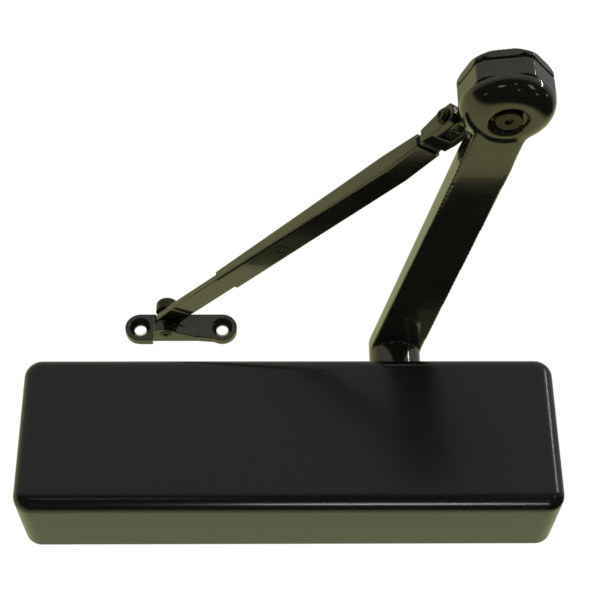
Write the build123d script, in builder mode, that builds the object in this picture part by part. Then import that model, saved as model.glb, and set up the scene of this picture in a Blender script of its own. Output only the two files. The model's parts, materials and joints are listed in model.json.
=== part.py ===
from build123d import *
import os
from math import acos, cos, hypot, pi, radians, sin, sqrt, tan

# Surface door closer with a regular arm and a hold-open elbow, in millimetres.
# +Z is up along the spindle, -Y points out of the door and +X is to the right.
# The origin is the centre of the four mounting holes, on the door's face.

os.makedirs("parts", exist_ok=True)

# ---- driving dimensions -------------------------------------------------------

# Cover
COVER_LENGTH = 311.0
COVER_HEIGHT = 95.0
COVER_DEPTH = 57.0
COVER_WALL = 2.2
COVER_CORNER_RADIUS = 10.5
COVER_EDGE_RADIUS = 8.5
COVER_SLOT_HALF_WIDTH = 17.0
CUT_MARGIN = 1.0

# Cylinder body
CYLINDER_Y = -28.0
CYLINDER_RADIUS = 25.0
CYLINDER_HALF_LENGTH = 146.0
BORE_RADIUS = 19.05
CAP_THREAD_RADIUS = 21.0
CAP_THICKNESS = 15.0
FLANGE_INNER_X = 100.0
FLANGE_OUTER_X = 153.0
FLANGE_HALF_HEIGHT = 41.0
FLANGE_THICKNESS = 8.0
FLANGE_CORNER_RADIUS = 8.0
MOUNT_HOLE_X = 116.0
MOUNT_HOLE_Z = 32.0
MOUNT_HOLE_RADIUS = 3.55
SCREW_LUG_LENGTH = 6.5
SCREW_LUG_DEPTH = 16.0
SCREW_LUG_HEIGHT = 12.5

# Cover screws, which enter from both ends
COVER_SCREW_Y = -10.0
COVER_SCREW_Z = 31.0
COVER_SCREW_RADIUS = 2.0
COVER_SCREW_HEAD_RADIUS = 4.0
COVER_SCREW_LENGTH = 8.0
RECESS_LENGTH = 5.0
RECESS_WIDTH = 1.1
RECESS_DEPTH = 1.2

# Spindle, pinion and rack
SPINDLE_X = 64.8
BOSS_RADIUS = 22.0
BOSS_HALF_HEIGHT = 38.0
MODULE = 1.5
TOOTH_COUNT = 12
PRESSURE_ANGLE = radians(20)
PROFILE_SHIFT = 0.35
RACK_BACKLASH = 0.12
PINION_HALF_FACE = 16.0
JOURNAL_RADIUS = 9.0
BEARING_RADIUS = 12.0
SQUARE_SIZE = 12.6
SQUARE_BOTTOM_Z = 44.0
SQUARE_TOP_Z = 73.5
SPINDLE_THREAD_RADIUS = 4.0
SPINDLE_THREAD_DEPTH = 22.0
RUNNING_GAP = 0.05

# Piston, spring and spring adjuster
PISTON_RADIUS = 19.0
PISTON_TRAVEL = pi * MODULE * TOOTH_COUNT / 2
SPRING_WIRE_RADIUS = 2.5
SPRING_MEAN_RADIUS = 15.0
SPRING_TURNS = 12
SPRING_SEAT_X = -106.0
ADJUSTER_RADIUS = 6.0

# Main arm
ARM_CENTRES = 240.0
ARM_BOTTOM_Z = 65.4
ARM_ELBOW_BOTTOM_Z = 61.8
ARM_TOP_Z = 74.9
ARM_HALF_WIDTH_SPINDLE = 15.5
ARM_HALF_WIDTH_ELBOW = 13.0
ARM_BOSS_BOTTOM_Z = 49.5
ARM_NECK_RADIUS = 30.0
ARM_TOP_EDGE_RADIUS = 2.4

# Elbow
ELBOW_X = 102.2
ELBOW_Y = -265.0
ELBOW_RADIUS = 23.2
ELBOW_BOTTOM_Z = 61.3
ELBOW_SEAM_Z = 72.4
ELBOW_EDGE_RADIUS = 10.8
ELBOW_SINK_RADIUS = 9.5
ELBOW_SINK_DEPTH = 3.0
HEAD_BOTTOM_Z = 72.6
HEAD_TOP_Z = 83.0
NUT_BOTTOM_Z = 83.6
NUT_TOP_Z = 88.2
FLAT_DISTANCE = 21.2
FIRST_FLAT_ANGLE = 21.0
CORNER_CHAMFER = 1.5
STUD_RADIUS = 6.0

# Knuckle, forearm tube and rod, measured along the forearm from the elbow axis
STUD_X = -77.0
STUD_Y = -9.5
KNUCKLE_ALONG = 35.5
KNUCKLE_Z = 83.5
KNUCKLE_PIN_RADIUS = 2.6
LUG_HALF_WIDTH = 3.8
EAR_INNER = 4.2
EAR_OUTER = 8.2
TUBE_WALL = 1.15
ROD_THICKNESS = 4.1
ROD_HALF_WIDTH = 6.95
ROD_INNER_HALF_WIDTH = 6.1
ROD_INNER_END = 150.0
ROD_BEND = 294.0

# Frame shoe
SHOE_Z = 95.7
SHOE_HOLE_X = (-94.1, -42.0)
SHOE_LOBE_RADIUS = 9.4
SHOE_THICKNESS = 5.5
SHOE_HOLE_RADIUS = 3.75
SHOE_SINK_RADIUS = 6.65
LUG_UNDERSIDE_Z = 88.5
LUG_TOP_Z = 93.7
SHOE_STUD_RADIUS = 3.5

# ---- worked-out values --------------------------------------------------------

arm_dx = (ELBOW_X - SPINDLE_X) / ARM_CENTRES
arm_dy = (ELBOW_Y - CYLINDER_Y) / ARM_CENTRES
forearm_reach = hypot(STUD_X - ELBOW_X, STUD_Y - ELBOW_Y)
forearm_dx = (STUD_X - ELBOW_X) / forearm_reach
forearm_dy = (STUD_Y - ELBOW_Y) / forearm_reach

# Tube sections: distance along the forearm, width, underside height and top height.
TUBE_SECTIONS = (
    (57.5, 15.0, 78.6, 86.9),
    (84.0, 15.2, 78.3, 89.4),
    (242.0, 16.4, 90.9, 97.5),
)
tube_mouth = TUBE_SECTIONS[0]
tube_knee = TUBE_SECTIONS[1]
tube_end = TUBE_SECTIONS[2]
rod_slope = (tube_end[2] - tube_knee[2]) / (tube_end[0] - tube_knee[0])
rod_lift = TUBE_WALL + 0.1

elbow_axis = Axis((ELBOW_X, ELBOW_Y, 0), (0, 0, 1))


def spindle_plan(z):
    """Horizontal plane centred on the spindle."""
    return Plane(origin=(SPINDLE_X, CYLINDER_Y, z))


def arm_plan(z):
    """Horizontal plane on the spindle, with x along the main arm."""
    return Plane(origin=(SPINDLE_X, CYLINDER_Y, z), x_dir=(arm_dx, arm_dy, 0), z_dir=(0, 0, 1))


def elbow_plan(z):
    """Horizontal plane centred on the elbow."""
    return Plane(origin=(ELBOW_X, ELBOW_Y, z))


def forearm_plan(z):
    """Horizontal plane on the elbow, with x along the forearm."""
    return Plane(origin=(ELBOW_X, ELBOW_Y, z), x_dir=(forearm_dx, forearm_dy, 0), z_dir=(0, 0, 1))


def forearm_side(offset=0.0):
    """Upright plane along the forearm: x runs along it and y is height."""
    far_side = Vector(forearm_dy, -forearm_dx, 0)
    origin = Vector(ELBOW_X, ELBOW_Y, 0) + far_side * offset
    return Plane(origin=origin, x_dir=(forearm_dx, forearm_dy, 0), z_dir=far_side)


def forearm_section(along, z):
    """Upright plane across the forearm, with x towards its far side and y up."""
    origin = (ELBOW_X + forearm_dx * along, ELBOW_Y + forearm_dy * along, z)
    return Plane(origin=origin, x_dir=(-forearm_dy, forearm_dx, 0), z_dir=(forearm_dx, forearm_dy, 0))


def bore_section(x):
    """Plane across the cylinder at x, centred on its axis."""
    return Plane(origin=(x, CYLINDER_Y, 0), x_dir=(0, 1, 0), z_dir=(1, 0, 0))


def rod_bottom(along):
    """Height of the rod's underside before its bend."""
    return tube_end[2] + rod_lift + (along - tube_end[0]) * rod_slope


# ---- cover --------------------------------------------------------------------

# Pressed cover: one rounded box, open at the back, with a slot for the spindle.
with BuildPart() as cover:
    with BuildSketch(Plane.XZ):
        RectangleRounded(COVER_LENGTH, COVER_HEIGHT, COVER_CORNER_RADIUS)
    extrude(amount=COVER_DEPTH)
    front = cover.faces().sort_by(Axis.Y)[0]
    fillet(front.edges(), COVER_EDGE_RADIUS)
    back = cover.faces().sort_by(Axis.Y)[-1]
    offset(amount=-COVER_WALL, openings=back)
    with BuildSketch(Plane.XY.offset(COVER_HEIGHT / 2 - COVER_WALL - CUT_MARGIN)):
        with Locations((SPINDLE_X, CYLINDER_Y)):
            Circle(COVER_SLOT_HALF_WIDTH)
        with Locations((SPINDLE_X, CYLINDER_Y / 2)):
            Rectangle(2 * COVER_SLOT_HALF_WIDTH, -CYLINDER_Y)
    extrude(amount=COVER_WALL + 2 * CUT_MARGIN, mode=Mode.SUBTRACT)
    for side in (1, -1):
        for z in (-COVER_SCREW_Z, COVER_SCREW_Z):
            wall = Plane(origin=(side * COVER_LENGTH / 2, COVER_SCREW_Y, z), z_dir=(side, 0, 0))
            with Locations(wall):
                CounterSinkHole(
                    COVER_SCREW_RADIUS + 3 * RUNNING_GAP,
                    COVER_SCREW_HEAD_RADIUS + 2 * RUNNING_GAP,
                    2 * COVER_WALL,
                )
cover.part.label = "cover"
export_step(cover.part, "parts/cover.step")

# Countersunk screws, flush with the cover's ends.
with BuildPart() as cover_screws:
    for side in (1, -1):
        for z in (-COVER_SCREW_Z, COVER_SCREW_Z):
            face = Plane(origin=(side * COVER_LENGTH / 2, COVER_SCREW_Y, z), z_dir=(-side, 0, 0))
            with BuildSketch(face):
                Circle(COVER_SCREW_HEAD_RADIUS)
            extrude(amount=COVER_SCREW_HEAD_RADIUS - COVER_SCREW_RADIUS, taper=45)
            with BuildSketch(face):
                Circle(COVER_SCREW_RADIUS)
            extrude(amount=COVER_SCREW_LENGTH)
            with BuildSketch(face):
                Rectangle(RECESS_WIDTH, RECESS_LENGTH)
                Rectangle(RECESS_LENGTH, RECESS_WIDTH)
            extrude(amount=RECESS_DEPTH, mode=Mode.SUBTRACT)
cover_screws.part.label = "cover_screws"
export_step(cover_screws.part, "parts/cover_screws.step")

# ---- cylinder body ------------------------------------------------------------

VALVE_X = {"closing_speed_valve": 96.0, "latch_speed_valve": 112.0, "backcheck_valve": 128.0}
VALVE_PAD_X = 112.0
VALVE_PAD_Z = -34.0
VALVE_PAD_ROOT_Z = -20.0
VALVE_PAD_LENGTH = 46.0
VALVE_PAD_WIDTH = 18.0
VALVE_BORE_DEPTH = 10.0
VALVE_RADIUS = 3.0
VALVE_SHANK_LENGTH = 7.0
VALVE_POINT_LENGTH = 2.6
VALVE_SLOT_WIDTH = 1.0
VALVE_SLOT_DEPTH = 1.4
VALVE_PROUD = 0.6
GLAND_THREAD_RADIUS = 15.0
GLAND_THREAD_LENGTH = 3.0

# Cast body: a cylinder with an upright boss, two mounting flanges and a valve pad.
with BuildPart() as closer_body:
    with BuildSketch(bore_section(-CYLINDER_HALF_LENGTH)):
        Circle(CYLINDER_RADIUS)
    extrude(amount=2 * CYLINDER_HALF_LENGTH)
    with BuildSketch(spindle_plan(-BOSS_HALF_HEIGHT)):
        Circle(BOSS_RADIUS)
    extrude(amount=2 * BOSS_HALF_HEIGHT)
    with BuildSketch(Plane.XZ):
        for side in (1, -1):
            with Locations((side * (FLANGE_INNER_X + FLANGE_OUTER_X) / 2, 0)):
                RectangleRounded(
                    FLANGE_OUTER_X - FLANGE_INNER_X, 2 * FLANGE_HALF_HEIGHT, FLANGE_CORNER_RADIUS
                )
    extrude(amount=FLANGE_THICKNESS)
    for side in (1, -1):
        for z in (-COVER_SCREW_Z, COVER_SCREW_Z):
            lug_x = side * (FLANGE_OUTER_X - SCREW_LUG_LENGTH / 2)
            with Locations((lug_x, -SCREW_LUG_DEPTH / 2, z)):
                Box(SCREW_LUG_LENGTH, SCREW_LUG_DEPTH, SCREW_LUG_HEIGHT)
    with Locations((VALVE_PAD_X, CYLINDER_Y, (VALVE_PAD_Z + VALVE_PAD_ROOT_Z) / 2)):
        Box(VALVE_PAD_LENGTH, VALVE_PAD_WIDTH, VALVE_PAD_ROOT_Z - VALVE_PAD_Z)
    with BuildSketch(bore_section(-CYLINDER_HALF_LENGTH)):
        Circle(BORE_RADIUS)
    extrude(amount=2 * CYLINDER_HALF_LENGTH, mode=Mode.SUBTRACT)
    for side in (1, -1):
        with BuildSketch(bore_section(side * CYLINDER_HALF_LENGTH)):
            Circle(CAP_THREAD_RADIUS)
        extrude(amount=-side * CAP_THICKNESS, mode=Mode.SUBTRACT)
    with BuildSketch(spindle_plan(-BOSS_HALF_HEIGHT)):
        Circle(BEARING_RADIUS)
    extrude(amount=2 * BOSS_HALF_HEIGHT, mode=Mode.SUBTRACT)
    for side in (1, -1):
        with BuildSketch(spindle_plan(side * BOSS_HALF_HEIGHT)):
            Circle(GLAND_THREAD_RADIUS)
        extrude(amount=-side * GLAND_THREAD_LENGTH, mode=Mode.SUBTRACT)
    with Locations(Plane.XZ):
        with GridLocations(2 * MOUNT_HOLE_X, 2 * MOUNT_HOLE_Z, 2, 2):
            Hole(MOUNT_HOLE_RADIUS, 2 * FLANGE_THICKNESS)
    for side in (1, -1):
        for z in (-COVER_SCREW_Z, COVER_SCREW_Z):
            lug_face = Plane(origin=(side * FLANGE_OUTER_X, COVER_SCREW_Y, z), z_dir=(side, 0, 0))
            with Locations(lug_face):
                Hole(COVER_SCREW_RADIUS, SCREW_LUG_LENGTH)
    for x in VALVE_X.values():
        with Locations(Plane(origin=(x, CYLINDER_Y, VALVE_PAD_Z), z_dir=(0, 0, -1))):
            Hole(VALVE_RADIUS + RUNNING_GAP, VALVE_BORE_DEPTH)
closer_body.part.label = "closer_body"
export_step(closer_body.part, "parts/closer_body.step")

# Needle valves: slotted screws that throttle the oil passages.
valve_head_z = VALVE_PAD_Z - VALVE_PROUD
for name, x in VALVE_X.items():
    with BuildPart() as valve:
        with BuildSketch(Plane(origin=(x, CYLINDER_Y, valve_head_z))):
            Circle(VALVE_RADIUS)
        extrude(amount=VALVE_SHANK_LENGTH)
        with BuildSketch(Plane(origin=(x, CYLINDER_Y, valve_head_z + VALVE_SHANK_LENGTH))):
            Circle(0.8 * VALVE_RADIUS)
        extrude(amount=VALVE_POINT_LENGTH, taper=25)
        with BuildSketch(Plane(origin=(x, CYLINDER_Y, valve_head_z))):
            Rectangle(VALVE_SLOT_WIDTH, 3 * VALVE_RADIUS)
        extrude(amount=VALVE_SLOT_DEPTH, mode=Mode.SUBTRACT)
    valve.part.label = name
    export_step(valve.part, f"parts/{name}.step")

# ---- end caps and power adjuster ----------------------------------------------

CAP_GROOVE_START = 3.0
CAP_GROOVE_WIDTH = 2.4
CAP_GROOVE_DEPTH = 1.85
CAP_PIN_CIRCLE_RADIUS = 14.0
CAP_PIN_HOLE_RADIUS = 2.5
CAP_PIN_HOLE_DEPTH = 5.0
CAP_SEAL_RADIUS = 20.1
CAP_SEAL_WIRE_RADIUS = 0.88
ADJUSTER_HEAD_X = -152.4
ADJUSTER_HEAD_INRADIUS = 8.5
ADJUSTER_HEAD_LENGTH = 6.0
ADJUSTER_SHANK_X = -147.0
ADJUSTER_SHANK_LENGTH = 53.0
ADJUSTER_COLLAR_X = -130.9
ADJUSTER_COLLAR_RADIUS = 10.0
ADJUSTER_COLLAR_LENGTH = 4.0
SEAT_RADIUS = 18.7
SEAT_THICKNESS = 8.0
SEAT_HUB_RADIUS = 11.5
SEAT_HUB_LENGTH = 6.0

# The left cap carries the power adjuster, and the right one is blind.
for name, side in (("left_end_cap", -1), ("right_end_cap", 1)):
    with BuildPart() as end_cap:
        with BuildSketch(bore_section(side * (CYLINDER_HALF_LENGTH - CAP_THICKNESS))):
            Circle(CAP_THREAD_RADIUS)
            if side < 0:
                Circle(ADJUSTER_RADIUS + RUNNING_GAP, mode=Mode.SUBTRACT)
        extrude(amount=side * CAP_THICKNESS)
        groove_x = side * (CYLINDER_HALF_LENGTH - CAP_THICKNESS + CAP_GROOVE_START)
        with BuildSketch(bore_section(groove_x)):
            Circle(CAP_THREAD_RADIUS + CUT_MARGIN)
            Circle(CAP_THREAD_RADIUS - CAP_GROOVE_DEPTH, mode=Mode.SUBTRACT)
        extrude(amount=side * CAP_GROOVE_WIDTH, mode=Mode.SUBTRACT)
        with BuildSketch(bore_section(side * CYLINDER_HALF_LENGTH)):
            with PolarLocations(CAP_PIN_CIRCLE_RADIUS, 2, 90):
                Circle(CAP_PIN_HOLE_RADIUS)
        extrude(amount=-side * CAP_PIN_HOLE_DEPTH, mode=Mode.SUBTRACT)
    end_cap.part.label = name
    export_step(end_cap.part, f"parts/{name}.step")

# One ring in each end cap's groove.
with BuildPart() as cap_seals:
    for side in (1, -1):
        groove_middle = CAP_GROOVE_START + CAP_GROOVE_WIDTH / 2
        ring_x = side * (CYLINDER_HALF_LENGTH - CAP_THICKNESS + groove_middle)
        with BuildSketch(Plane(origin=(ring_x, CYLINDER_Y, 0))):
            with Locations((0, CAP_SEAL_RADIUS)):
                Circle(CAP_SEAL_WIRE_RADIUS)
        revolve(axis=Axis((ring_x, CYLINDER_Y, 0), (1, 0, 0)))
cap_seals.part.label = "cap_seals"
export_step(cap_seals.part, "parts/cap_seals.step")

# Adjusting screw: a hexagon head outside the cap and a collar inside it.
with BuildPart() as power_adjuster:
    with BuildSketch(bore_section(ADJUSTER_HEAD_X)):
        RegularPolygon(ADJUSTER_HEAD_INRADIUS, 6, major_radius=False)
    extrude(amount=ADJUSTER_HEAD_LENGTH)
    with BuildSketch(bore_section(ADJUSTER_SHANK_X)):
        Circle(ADJUSTER_RADIUS)
    extrude(amount=ADJUSTER_SHANK_LENGTH)
    with BuildSketch(bore_section(ADJUSTER_COLLAR_X)):
        Circle(ADJUSTER_COLLAR_RADIUS)
    extrude(amount=ADJUSTER_COLLAR_LENGTH)
power_adjuster.part.label = "power_adjuster"
export_step(power_adjuster.part, "parts/power_adjuster.step")

# Threaded plate that the spring pushes on.
with BuildPart() as spring_seat:
    with BuildSketch(bore_section(SPRING_SEAT_X - SEAT_THICKNESS)):
        Circle(SEAT_RADIUS)
        Circle(ADJUSTER_RADIUS + RUNNING_GAP, mode=Mode.SUBTRACT)
    extrude(amount=SEAT_THICKNESS)
    with BuildSketch(bore_section(SPRING_SEAT_X)):
        Circle(SEAT_HUB_RADIUS)
        Circle(ADJUSTER_RADIUS + RUNNING_GAP, mode=Mode.SUBTRACT)
    extrude(amount=SEAT_HUB_LENGTH)
spring_seat.part.label = "spring_seat"
export_step(spring_seat.part, "parts/spring_seat.step")

# ---- piston and spring --------------------------------------------------------

WINDOW_MARGIN = 12.0
WINDOW_BACK = 11.6
PISTON_SPRING_END = 16.0
PISTON_VALVE_END = 14.0
PISTON_OIL_HOLE_RADIUS = 3.2
RACK_HALF_FACE = 15.0
BALL_RADIUS = 3.1
BALL_DEPTH = 5.1
BALL_POCKET_RADIUS = 5.0
BALL_POCKET_DEPTH = 8.0
BALL_PLUG_THICKNESS = 1.8
BALL_PLUG_HOLE_RADIUS = 1.5

window_left = SPINDLE_X - WINDOW_MARGIN
window_right = SPINDLE_X + WINDOW_MARGIN + PISTON_TRAVEL
piston_left = window_left - PISTON_SPRING_END
piston_right = window_right + PISTON_VALVE_END
pitch_radius = MODULE * TOOTH_COUNT / 2
rack_reference = pitch_radius + PROFILE_SHIFT * MODULE
rack_tip = rack_reference - MODULE
rack_root = rack_reference + 1.25 * MODULE
rack_pitch = pi * MODULE

# Piston with a window for the pinion and a rack cut along the window's front side.
with BuildPart() as piston:
    with BuildSketch(bore_section(piston_left)):
        Circle(PISTON_RADIUS)
    extrude(amount=piston_right - piston_left)
    window_middle = ((window_left + window_right) / 2, CYLINDER_Y + (WINDOW_BACK - rack_root) / 2)
    with BuildSketch(Plane.XY):
        with Locations(window_middle):
            Rectangle(window_right - window_left, rack_root + WINDOW_BACK)
    extrude(amount=2 * PISTON_RADIUS, both=True, mode=Mode.SUBTRACT)
    half_reference = rack_pitch / 4 - RACK_BACKLASH / 2
    half_tip = half_reference - (rack_reference - rack_tip) * tan(PRESSURE_ANGLE)
    half_root = half_reference + (rack_root - rack_reference) * tan(PRESSURE_ANGLE)
    with BuildSketch(Plane.XY):
        for k in range(-2, 8):
            x = SPINDLE_X + (k + 0.5) * rack_pitch
            with BuildLine():
                Polyline(
                    (x - half_root, CYLINDER_Y - rack_root),
                    (x - half_tip, CYLINDER_Y - rack_tip),
                    (x + half_tip, CYLINDER_Y - rack_tip),
                    (x + half_root, CYLINDER_Y - rack_root),
                    close=True,
                )
            make_face()
    extrude(amount=RACK_HALF_FACE, both=True)
    with BuildSketch(bore_section(piston_left)):
        Circle(PISTON_OIL_HOLE_RADIUS)
    extrude(amount=PISTON_SPRING_END, mode=Mode.SUBTRACT)
    with BuildSketch(bore_section(piston_right)):
        Circle(PISTON_OIL_HOLE_RADIUS)
    extrude(amount=-PISTON_VALVE_END, mode=Mode.SUBTRACT)
    with BuildSketch(bore_section(piston_right)):
        Circle(BALL_POCKET_RADIUS)
    extrude(amount=-BALL_POCKET_DEPTH, mode=Mode.SUBTRACT)
piston.part.label = "piston"
export_step(piston.part, "parts/piston.step")

# Check valve in the piston's head: a ball on its seat and the plug that keeps it.
with BuildPart() as check_ball:
    with Locations((piston_right - BALL_DEPTH, CYLINDER_Y, 0)):
        Sphere(BALL_RADIUS)
check_ball.part.label = "check_ball"
with BuildPart() as check_plug:
    with BuildSketch(bore_section(piston_right)):
        Circle(BALL_POCKET_RADIUS)
        Circle(BALL_PLUG_HOLE_RADIUS, mode=Mode.SUBTRACT)
    extrude(amount=-BALL_PLUG_THICKNESS)
check_plug.part.label = "check_plug"
export_step(check_ball.part, "parts/check_ball.step")
export_step(check_plug.part, "parts/check_plug.step")

# Closing spring, between the seat and the piston.
spring_start = SPRING_SEAT_X + SPRING_WIRE_RADIUS + RUNNING_GAP
spring_length = piston_left - SPRING_WIRE_RADIUS - RUNNING_GAP - spring_start
with BuildPart() as closer_spring:
    with BuildLine() as coil:
        Helix(
            pitch=spring_length / SPRING_TURNS,
            height=spring_length,
            radius=SPRING_MEAN_RADIUS,
            center=(spring_start, CYLINDER_Y, 0),
            direction=(1, 0, 0),
        )
    with BuildSketch(Plane(origin=coil.line @ 0, z_dir=coil.line % 0)):
        Circle(SPRING_WIRE_RADIUS)
    sweep()
closer_spring.part.label = "closer_spring"
export_step(closer_spring.part, "parts/closer_spring.step")

# ---- pinion, bearings and gland -----------------------------------------------

PINION_FOOT_Z = -34.0
FLANK_STEPS = 5
TOOTH_ROOT_OVERLAP = 0.5
BEARING_INNER_Z = 18.0
BEARING_OUTER_Z = 31.0
BEARING_LIP = 1.5
NEEDLE_SPACE = 1.6
NEEDLE_GAP = 0.03
SEAL_BOTTOM_Z = 31.2
SEAL_HEIGHT = 3.6
SEAL_SKIN = 0.8
SEAL_BASE = 1.2
SEAL_GAP = 0.04
GLAND_INRADIUS = 15.5
GLAND_HEAD_HEIGHT = 4.0
GLAND_BORE_GAP = 0.3
GLAND_CHAMFER = 0.6
PLUG_PIN_SPACING = 16.0
PLUG_PIN_RADIUS = 2.0
PLUG_PIN_DEPTH = 2.0

base_radius = pitch_radius * cos(PRESSURE_ANGLE)
tip_radius = pitch_radius + MODULE * (1 + PROFILE_SHIFT) - 0.02
root_radius = pitch_radius - MODULE * (1.25 - PROFILE_SHIFT)
tooth_at_pitch = MODULE * (pi / 2 + 2 * PROFILE_SHIFT * tan(PRESSURE_ANGLE))
involute_at_pitch = tan(PRESSURE_ANGLE) - PRESSURE_ANGLE


def half_tooth_angle(radius):
    """Half of a tooth's angular thickness at a radius on its involute flank."""
    flank_angle = acos(min(1.0, base_radius / radius))
    involute = tan(flank_angle) - flank_angle
    return tooth_at_pitch / (2 * pitch_radius) + involute_at_pitch - involute


def flank_point(radius, side):
    """Point on a flank of the tooth that points towards -Y."""
    angle = -pi / 2 + side * half_tooth_angle(max(radius, base_radius))
    return (radius * cos(angle), radius * sin(angle))


flank_height = tip_radius - base_radius
flank_radii = [base_radius + flank_height * i / FLANK_STEPS for i in range(FLANK_STEPS + 1)]
tooth_foot = root_radius - TOOTH_ROOT_OVERLAP
with BuildSketch() as tooth:
    with BuildLine():
        left = Spline([flank_point(r, -1) for r in flank_radii])
        right = Spline([flank_point(r, 1) for r in flank_radii])
        Line(left @ 1, right @ 1)
        Polyline(left @ 0, flank_point(tooth_foot, -1), flank_point(tooth_foot, 1), right @ 0)
    make_face()

# Pinion: teeth in the middle, two journals and the square end that drives the arm.
with BuildPart() as pinion:
    with BuildSketch(spindle_plan(-PINION_HALF_FACE)):
        Circle(root_radius)
        with PolarLocations(0, TOOTH_COUNT):
            add(tooth.sketch)
    extrude(amount=2 * PINION_HALF_FACE)
    with BuildSketch(spindle_plan(PINION_FOOT_Z)):
        Circle(JOURNAL_RADIUS)
    extrude(amount=-PINION_FOOT_Z - PINION_HALF_FACE)
    with BuildSketch(spindle_plan(PINION_HALF_FACE)):
        Circle(JOURNAL_RADIUS)
    extrude(amount=SQUARE_BOTTOM_Z - PINION_HALF_FACE)
    with BuildSketch(arm_plan(SQUARE_BOTTOM_Z)):
        Rectangle(SQUARE_SIZE, SQUARE_SIZE)
    extrude(amount=SQUARE_TOP_Z - SQUARE_BOTTOM_Z)
    with Locations(spindle_plan(SQUARE_TOP_Z)):
        Hole(SPINDLE_THREAD_RADIUS, SPINDLE_THREAD_DEPTH)
pinion.part.label = "pinion"
export_step(pinion.part, "parts/pinion.step")

# Needle-bearing cups, one above and one below the teeth.
bearing_length = BEARING_OUTER_Z - BEARING_INNER_Z
for name, low in (("lower_bearing", -BEARING_OUTER_Z), ("upper_bearing", BEARING_INNER_Z)):
    with BuildPart() as bearing:
        with BuildSketch(spindle_plan(low)):
            Circle(BEARING_RADIUS)
            Circle(JOURNAL_RADIUS + NEEDLE_GAP, mode=Mode.SUBTRACT)
        extrude(amount=bearing_length)
        with BuildSketch(spindle_plan(low + BEARING_LIP)):
            Circle(JOURNAL_RADIUS + NEEDLE_SPACE)
            Circle(JOURNAL_RADIUS + NEEDLE_GAP, mode=Mode.SUBTRACT)
        extrude(amount=bearing_length - 2 * BEARING_LIP, mode=Mode.SUBTRACT)
    bearing.part.label = name
    export_step(bearing.part, f"parts/{name}.step")

# Lip seal above the upper bearing.
with BuildPart() as pinion_seal:
    with BuildSketch(spindle_plan(SEAL_BOTTOM_Z)):
        Circle(BEARING_RADIUS)
        Circle(JOURNAL_RADIUS + SEAL_GAP, mode=Mode.SUBTRACT)
    extrude(amount=SEAL_HEIGHT)
    with BuildSketch(spindle_plan(SEAL_BOTTOM_Z + SEAL_BASE)):
        Circle(BEARING_RADIUS - SEAL_SKIN)
        Circle(JOURNAL_RADIUS + SEAL_SKIN, mode=Mode.SUBTRACT)
    extrude(amount=SEAL_HEIGHT - SEAL_BASE, mode=Mode.SUBTRACT)
pinion_seal.part.label = "pinion_seal"
export_step(pinion_seal.part, "parts/pinion_seal.step")

# Gland nut that holds the seal down, with a hexagon above the boss.
with BuildPart() as gland_nut:
    with BuildSketch(spindle_plan(BOSS_HALF_HEIGHT - GLAND_THREAD_LENGTH)):
        Circle(GLAND_THREAD_RADIUS)
    extrude(amount=GLAND_THREAD_LENGTH)
    with BuildSketch(spindle_plan(BOSS_HALF_HEIGHT)):
        RegularPolygon(GLAND_INRADIUS, 6, major_radius=False)
    extrude(amount=GLAND_HEAD_HEIGHT)
    with Locations(spindle_plan(BOSS_HALF_HEIGHT + GLAND_HEAD_HEIGHT)):
        Hole(JOURNAL_RADIUS + GLAND_BORE_GAP, 2 * GLAND_HEAD_HEIGHT)
    chamfer(gland_nut.faces().sort_by(Axis.Z)[-1].outer_wire().edges(), GLAND_CHAMFER)
gland_nut.part.label = "gland_nut"
export_step(gland_nut.part, "parts/gland_nut.step")

# Blind plug under the pinion.
with BuildPart() as lower_plug:
    with BuildSketch(spindle_plan(-BOSS_HALF_HEIGHT)):
        Circle(GLAND_THREAD_RADIUS)
    extrude(amount=GLAND_THREAD_LENGTH)
    with BuildSketch(spindle_plan(-BOSS_HALF_HEIGHT)):
        with GridLocations(PLUG_PIN_SPACING, 0, 2, 1):
            Circle(PLUG_PIN_RADIUS)
    extrude(amount=PLUG_PIN_DEPTH, mode=Mode.SUBTRACT)
lower_plug.part.label = "lower_plug"
export_step(lower_plug.part, "parts/lower_plug.step")

# ---- main arm -----------------------------------------------------------------

EYE_INNER_RADIUS = ELBOW_RADIUS - ELBOW_EDGE_RADIUS
EYE_EDGE_Z = ELBOW_BOTTOM_Z + ELBOW_EDGE_RADIUS
EYE_ENTRY = 13.0
FLARE_BOTTOM_Z = 67.5


def arm_outline():
    """The arm's tapered bar and both eyes with filleted necks, with x along the arm."""
    with BuildSketch() as outline:
        with BuildLine():
            Polyline(
                (0, ARM_HALF_WIDTH_SPINDLE),
                (ARM_CENTRES, ARM_HALF_WIDTH_ELBOW),
                (ARM_CENTRES, -ARM_HALF_WIDTH_ELBOW),
                (0, -ARM_HALF_WIDTH_SPINDLE),
                close=True,
            )
        make_face()
        Circle(ARM_HALF_WIDTH_SPINDLE)
        with Locations((ARM_CENTRES, 0)):
            Circle(ELBOW_RADIUS)
        fillet(outline.vertices().group_by(Axis.X)[-1], ARM_NECK_RADIUS)
    return outline.sketch


def arm_side():
    """Upright plane along the main arm: x runs from the spindle to the elbow and y is height."""
    across = (arm_dy, -arm_dx, 0)
    return Plane(origin=(SPINDLE_X, CYLINDER_Y, 0), x_dir=(arm_dx, arm_dy, 0), z_dir=across)


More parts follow.
